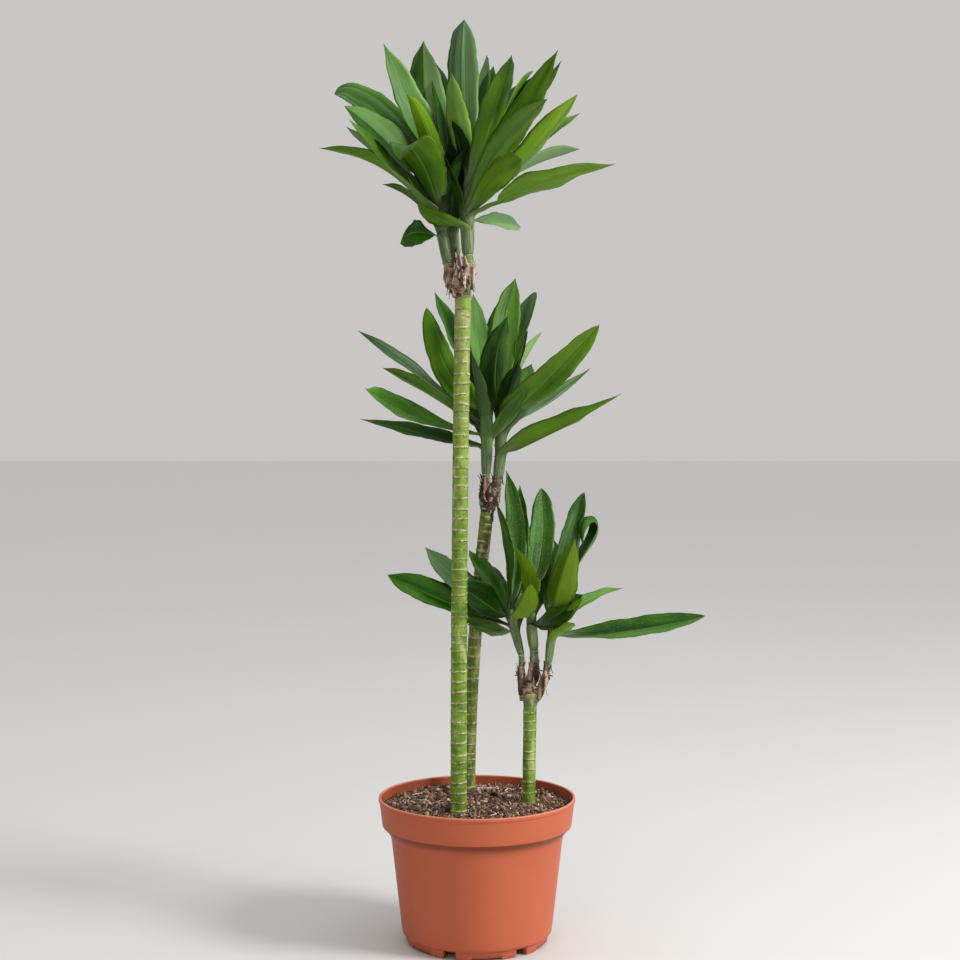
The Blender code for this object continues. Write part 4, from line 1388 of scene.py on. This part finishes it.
@dataclass
class Stems:
    """The canes and their shoots, each with its own bark, and what is left on them of old leaves.

    crest_shape gives heights and radii in mm of the scurfy swelling at the top of the short cane.
    """

    cane_spacing: float = 10.3 * MM
    shoot_spacing: float = 6.0 * MM
    cane_flakes: float = 0.22
    shoot_flakes: float = 0.15
    crest_shape: Tuple[Tuple[float, ...], ...] = (
        (253, 256, 259, 262, 265, 269), (7.3, 7.7, 8.9, 10.3, 10.9, 6.0))

    def crest(self) -> None:
        """Make the swelling at the top of the short cane, round a nearly upright axis."""
        heights, radii = self.crest_shape
        level = np.linspace(heights[0], heights[-1], 40)
        axis = np.stack([56.4 + 0.04 * (level - 246), 0.3 - 0.02 * (level - 246), level], axis=-1) * MM
        head = RingedStem(axis, np.interp(level, heights, radii) * MM, 30 * MM, 36, 61, swell=0.0,
                          aged=(-1.0, 0.3))
        scurf = BarkFinish("crest_bark", (0.20, 0.215, 0.085), (0.085, 0.10, 0.035),
                           weathering_and_shade=(0.19, 0.145, 0.08))
        make_piece("ringed_crest_short", head.skin(), scurf.material())

    def build(self) -> None:
        """Make every cane, every shoot, the flakes at their scars and the knots at the canes' tops."""
        bark = {
            "tall": BarkFinish("tall_bark", (0.215, 0.305, 0.042), (0.066, 0.142, 0.010),
                               weathering_and_shade=(0.42, 0.43, 0.19)),
            # The middle cane's dark weathered colour partly paints the shade that its crown casts on its
            # top.
            "middle": BarkFinish("middle_bark", (0.200, 0.245, 0.042), (0.060, 0.105, 0.009),
                                 weathering_and_shade=(0.070, 0.072, 0.016)),
            "short": BarkFinish("short_bark", (0.200, 0.300, 0.042), (0.072, 0.150, 0.010)),
        }
        aged = {"tall": (0.35, 1.25), "middle": (0.45, 0.95), "short": (0.6, 1.6)}
        flakes: List[Skin] = []
        for index, (name, cane) in enumerate(CANES.items()):
            path = cane_path(cane)
            radii = np.linspace(cane.foot_radius, cane.top_radius, len(path)) * MM
            stem = RingedStem(path, radii, self.cane_spacing, 36, 11 + index, aged=aged[name])
            make_piece("ringed_cane_" + name, stem.skin(), bark[name].material(),
                       ["cane_" + name])
            flakes += stem.flakes(self.cane_flakes)
        self.crest()
        coats = {
            Bark.GREEN: BarkFinish("green_shoot", (0.205, 0.265, 0.070), (0.10, 0.15, 0.026)),
            Bark.GREY: BarkFinish("grey_shoot", (0.17, 0.22, 0.11), (0.08, 0.12, 0.05),
                                  scar=(0.40, 0.38, 0.28)),
            Bark.DRY: BarkFinish("dry_shoot", (0.17, 0.12, 0.07), (0.06, 0.04, 0.02),
                                 scar=(0.38, 0.30, 0.21)),
        }
        skins = {kind: finish.material() for kind, finish in coats.items()}
        for index, (name, shoot) in enumerate(SHOOTS.items()):
            path = smooth_path(shoot_knots(shoot) * MM, 150)
            highest = max(leaf.height for leaf in LEAVES[shoot.cane] if leaf.shoot == name)
            path = path[path[:, 2] < (highest - 2) * MM]
            radii = shoot.radius * MM * np.linspace(1.0, 0.5, 150)[:len(path)]
            stem = RingedStem(path, radii, self.shoot_spacing, 20, 31 + index, swell=0.06)
            make_piece("ringed_shoot_" + name, stem.skin(), skins[shoot.bark],
                       ["shoot_" + name])
            flakes += stem.flakes(self.shoot_flakes)
        paper = PaperFinish().material()
        torn = PaperFinish("torn_bark", ((0.0, (0.12, 0.09, 0.04)), (0.5, (0.36, 0.33, 0.15)),
                                         (1.0, (0.66, 0.64, 0.43))))
        make_piece("scar_flakes", joined(flakes), torn.material())
        for zone in (
                Remnants("tall", ((-15.0, -45, 684), (-20.0, -46.5, 714)),
                         (8.8, 11.5, 14.5, 16, 15.5, 9), 110,
                         (("tall_left", 706, 722), ("tall_back", 708, 740), ("tall_right", 706, 720)),
                         (("tall_right", 697, 716, 1.7), ("tall_left", 696, 716, 1.4),
                          ("tall_back", 700, 736, 0.8)), 0.56, 3, 9.0),
                Remnants("middle", ((11.6, 55.4, 455), (14.5, 54.5, 487)), (7.2, 9.5, 10.5, 9.5, 5), 44,
                         (("middle_right", 482, 522), ("middle_left", 480, 494)),
                         (("middle_left", 470, 492, 1.0),), 0.34, 4),
                Remnants("short", ((56.6, 0, 265), (57.4, 1, 279)), (8, 10.5, 11, 9.5, 5), 26,
                         (("short_middle", 268, 298), ("short_right", 266, 300), ("short_left", 268, 296)),
                         (("short_middle", 265, 297, 1.2), ("short_right", 261, 288, 1.2),
                          ("short_left", 264, 293, 1.2)), 0.46, 5)):
            make_piece("remnants_" + zone.name, zone.skin(), paper)


# ---------------------------------------------------------------- leaves


@dataclass
class LeafBlade:
    """One leaf as a thin closed body, from the sheath round its shoot to its tip."""

    leaf: Leaf
    seed: int
    layer: int
    rows: int = 46
    columns: int = 11
    sheath_rows: int = 9
    thickness: float = 0.7 * MM
    sheath: float = 24.0
    clasp_fold: float = 42.0
    stand_off: float = 1.6 * MM

    def shares(self) -> Array:
        """Shares of the blade's length at which it is cut: below 0 down the sheath, 1 at the tip."""
        down = np.linspace(-self.sheath / self.leaf.length, 0, self.sheath_rows, endpoint=False)
        return np.concatenate([down, np.linspace(0, 1, self.rows) ** 0.95])

    def midrib(self, share: Array) -> Tuple[Array, Array, Array]:
        """Find the blade's middle line.

        The slope is the straight line to the tip plus bows that turn from one way to the other
        at the middle, turned down by the curl towards the tip. The points are its running sum.

        Args:
            share: shares of the blade's length.

        Returns:
            Points, unit directions and unit side vectors, a row for each share.
        """
        leaf = self.leaf
        azimuth, rise = math.radians(leaf.azimuth), math.radians(leaf.rise)
        outward = spoke(azimuth)
        side = np.cross(UP, outward)
        length = leaf.length * MM
        line = (outward * math.cos(rise) + UP * math.sin(rise)) * length
        upward = unit(np.cross(line, side))
        lean = (1 - 2 * np.clip(share, 0, 1))[:, None] * 4 * length
        slope = line + (upward * leaf.arch + side * leaf.sway) * lean
        turn = (math.radians(leaf.curl) * smooth(share, leaf.curl_from, 1.0))[:, None]
        level = unit(np.cross(slope, side))
        size = np.linalg.norm(slope, axis=1, keepdims=True)
        slope = slope * np.cos(turn) - level * size * np.sin(turn)
        steps = (slope[1:] + slope[:-1]) / 2 * np.diff(share)[:, None]
        points = np.vstack([np.zeros(3), np.cumsum(steps, axis=0)])
        start = np.array([np.interp(0.0, share, points[:, axis]) for axis in range(3)])
        axis_point, radius = shoot_at(SHOOTS[leaf.shoot], leaf.height)
        along = unit(slope)
        across = unit(side - along * (along @ side)[:, None])
        return points - start + axis_point + outward * (radius + self.stand_off), along, across

    def half_thickness(self, loop: Array, sheet: Array) -> Array:
        """How far each point of a cross-section stands off the blade's middle, 0 at the edges."""
        return sheet * (1 - np.abs(loop) ** 4) * self.thickness / 2

    def clasp(self, share: Array, loop: Array, sheet: Array) -> Array:
        """Arcs round the shoot that the blade's foot grows out of.

        An arc's centre is on the shoot, as far below the foot as the share says. Its reach
        narrows and its radius grows upwards, and sheaths of lower leaves lie outside others.

        Args:
            share: shares of the blade's length.
            loop: places round a cross-section, from -1 to 1 and back.
            sheet: 1 on the upper sheet and -1 on the lower.

        Returns:
            Points for each share and place.
        """
        leaf = self.leaf
        drop = share * leaf.length
        height = leaf.height + np.where(share < 0, drop, drop * 0.5)
        centre, radius = shoot_at(SHOOTS[leaf.shoot], height)
        climb = np.clip(1 + drop / self.sheath, 0, 1.6)
        reach = np.interp(drop, [-self.sheath, 0, 20], [2.3, 1.75, 0.7])
        outer = (1.0 + 0.3 * min(self.layer, 6)) * np.clip(climb, 0, 1) ** 0.5
        off = -0.4 + outer + 3.0 * (climb - 1).clip(0)
        outward = polar(math.radians(leaf.azimuth) + loop * reach[:, None])
        skin = self.half_thickness(loop, sheet)
        return centre[:, None] + outward * ((radius + off * MM)[:, None] - skin)[..., None]

    def rings(self) -> Array:
        """Cross-sections of the leaf.

        Half the width is a power of a sine of a power of the share, plus a foot. The halves rise
        from the midrib with the distance to a power, and the edges ripple. The upper and lower
        sheet stand half the thickness to either side and meet at the edges. Near the foot the
        sections change smoothly into the arcs of the sheath.

        Returns:
            An array of sections by points by 3.
        """
        leaf = self.leaf
        dice = np.random.default_rng(self.seed)
        share = self.shares()
        points, along, across = self.midrib(share)
        level = np.cross(along, across)
        at = np.clip(share, 0, 1)
        turn = math.radians(leaf.twist) * at ** 3 + math.radians(dice.uniform(-9, 9)) * at ** 2
        roll = np.radians(leaf.roll) * (1 - (1 - at) ** 3) + turn
        cos, sin = np.cos(roll)[:, None], np.sin(roll)[:, None]
        blade_side, blade_up = across * cos - level * sin, level * cos + across * sin
        blade = np.clip((at - leaf.neck) / (1 - leaf.neck), 0, 1)
        power = leaf.blunt * (1 + 0.45 * smooth(at, 0.84, 1.0))
        blade = np.sin(np.pi * blade ** leaf.peak).clip(0) ** power
        half = (leaf.width * blade + 10.0 * (1 - at) ** 2.0 + 0.3 * at) / 2 * MM
        fold = np.radians(leaf.fold + (self.clasp_fold - leaf.fold) * (1 - at / 0.3).clip(0) ** 2)
        fold = fold * (1 - 0.35 * smooth(at, 0.75, 1.0))
        off = np.linspace(-1, 1, self.columns)
        loop = np.concatenate([off, off[-2:0:-1]])
        sheet = np.concatenate([np.ones(self.columns), -np.ones(self.columns - 2)])
        wave, start = dice.uniform(2.0, 3.4, 2), dice.uniform(0, 2 * np.pi, 2)
        left = np.sin(2 * np.pi * wave[0] * at + start[0])[:, None] * (loop < 0)
        right = np.sin(2 * np.pi * wave[1] * at + start[1])[:, None] * (loop > 0)
        swing = (leaf.ripple * MM * np.sin(np.pi * at) ** 0.7)[:, None]
        ripple = (left + right) * np.abs(loop) ** 2.5 * swing
        crease = 1.35 - 0.35 * min(max((leaf.fold - 20) / 14, 0.0), 1.0)
        lift = half[:, None] * np.sin(fold)[:, None] * np.abs(loop) ** crease + ripple
        uneven = (0.03 * np.sin(2 * np.pi * wave[::-1] * at[:, None] * 1.7 + start)
                  + 0.018 * np.sin(2 * np.pi * wave * at[:, None] * 4.1 + start[::-1]))
        margin = np.where(loop < 0, uneven[:, :1], uneven[:, 1:]) * np.abs(loop) ** 2
        spread = half[:, None] * np.cos(fold)[:, None] * loop * (1 + margin)
        skin = self.half_thickness(loop, sheet) * (1 - 0.8 * at[:, None] ** 6)
        blade = (points[:, None] + blade_side[:, None] * spread[..., None]
                 + blade_up[:, None] * (lift + skin)[..., None])
        free = smooth(share, 0.0, 20 / leaf.length)[:, None, None]
        return self.clasp(share, loop, sheet) * (1 - free) + blade * free

    def skin(self) -> Skin:
        """Close the leaf's surface and give it its traits.

        Returns:
            The leaf's skin.
        """
        leaf = self.leaf
        share = self.shares()[:, None]
        clasp = 1 - smooth(share, -0.02, 0.26)
        wear = smooth(share, 1 - 1.6 * leaf.dry, 1 - 0.4 * leaf.dry)
        return sweep(self.rings(), shade=leaf.shade, hue=leaf.hue, split=leaf.split, stripe=leaf.stripe,
                     dew=leaf.dew, clasp=clasp, wear=wear)


@dataclass
class Crown:
    """The leaves of one cane, and their finish."""

    name: str
    finish: LeafFinish
    seed: int

    def build(self) -> None:
        """Make every leaf of the crown; those with a plain solid stand for it."""
        coat = self.finish.material()
        leaves = LEAVES[self.name]
        for index, leaf in enumerate(leaves, 1):
            label = f"{self.name}_{index:02d}"
            above = sum(other.shoot == leaf.shoot and other.height > leaf.height for other in leaves)
            blade = LeafBlade(leaf, self.seed + index, above)
            nodes = ["leaf_" + label] if "leaf_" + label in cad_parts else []
            make_piece("blade_" + label, blade.skin(), coat, nodes)


# ---------------------------------------------------------------- studio


@dataclass
class Studio:
    """Pale floor, soft lamps, plain surroundings and the camera."""

    floor_size: float = 24.0
    floor_level: float = -0.0004
    eye: Tuple[float, float, float] = (0.0032, -1.9233, 0.5953)
    pitch: float = 3.051
    lens: float = 68.25
    floor_colour: Colour = (0.58, 0.57, 0.555)
    wall_colour: Colour = (0.58, 0.57, 0.555)
    aim: Tuple[float, float, float] = (0.0, 0.0, 0.5)
    sky: Tuple[float, float] = (0.24, 1.18)
    sides: Tuple[float, float] = (0.65, 1.35)

    def floor(self) -> None:
        """Make the floor, a flat sheet a hair under the pot."""
        half = self.floor_size / 2
        mesh = bpy.data.meshes.new("studio_floor")
        corners = ((-half, -half), (half, -half), (half, half), (-half, half))
        mesh.from_pydata([(x, y, self.floor_level) for x, y in corners], [], [(0, 1, 2, 3)])
        board = Board("studio_floor")
        tone = board.noise(board.place(), 3, 3)
        pale = board.blend(tone, self.floor_colour, tuple(0.97 * part for part in self.floor_colour))
        mesh.materials.append(board.finish(Base_Color=pale, Roughness=0.7))
        put("studio_floor", mesh)

    def lamp(self, name: str, place: Tuple[float, float, float], size: float, power: float) -> None:
        """Hang a square soft lamp that points at the middle of the plant.

        Args:
            name: of the lamp.
            place: where it hangs.
            size: of its side in metres.
            power: in watts.
        """
        light = bpy.data.lights.new(name, "AREA")
        light.size = size
        light.energy = power
        made = put(name, light)
        made.location = place
        aim = Vector(self.aim) - Vector(place)
        made.rotation_euler = aim.to_track_quat("-Z", "Y").to_euler()

    def surroundings(self) -> None:
        """Light the plant from a sky brighter overhead and on the right, and show a pale wall."""
        board = Board("studio", world=True)
        bpy.context.scene.world = board.owner
        direction = board.value("ShaderNodeTexCoord", output="Generated")
        parts = board.node("ShaderNodeSeparateXYZ", None, {0: direction})
        rising = {"Value": Value(board, parts.outputs["Z"]), "To Min": self.sky[0], "To Max": self.sky[1]}
        across = {"Value": Value(board, parts.outputs["X"]), "From Min": -1.0,
                  "To Min": self.sides[0], "To Max": self.sides[1]}
        upward, sideways = (board.value("ShaderNodeMapRange", None, term) for term in (rising, across))
        board.finish(Color=(1.0, 1.0, 1.0), Strength=upward * sideways)
        seen = board.value("ShaderNodeBackground", None, {"Color": self.wall_colour})
        ray = board.value("ShaderNodeLightPath", output="Is Camera Ray")
        glow = Value(board, board.shader.outputs[0])
        mixed = board.value("ShaderNodeMixShader", None, {0: ray, 1: glow, 2: seen})
        board.join(mixed, board.tree.nodes["World Output"].inputs["Surface"])

    def camera(self) -> None:
        """Stand the camera in front, looking slightly down."""
        lens = bpy.data.cameras.new("front")
        lens.lens = self.lens
        lens.sensor_width = 36.0
        lens.clip_end = 60.0
        made = put("front", lens)
        made.location = self.eye
        made.rotation_euler = (math.radians(90 - self.pitch), 0.0, 0.0)
        bpy.context.scene.camera = made

    def build(self) -> None:
        """Set the whole studio up."""
        self.floor()
        self.lamp("key", (2.15, -0.9, 1.75), 0.8, 78.0)
        self.lamp("fill", (-0.8, -2.6, 1.2), 1.6, 8.0)
        self.surroundings()
        self.camera()
        bpy.context.scene.view_settings.view_transform = "Standard"


def main() -> None:
    """Build the whole scene in order."""
    logging.basicConfig(level=logging.INFO, format="%(name)s %(message)s")
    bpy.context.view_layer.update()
    NurseryPot().build()
    PottingSoil().build()
    Stems().build()
    for seed, name in enumerate(LEAVES, 1):
        Crown(name, LeafFinish(name + "_leaf"), 100 * seed).build()
    Studio().build()


if __name__ == "__main__":
    main()
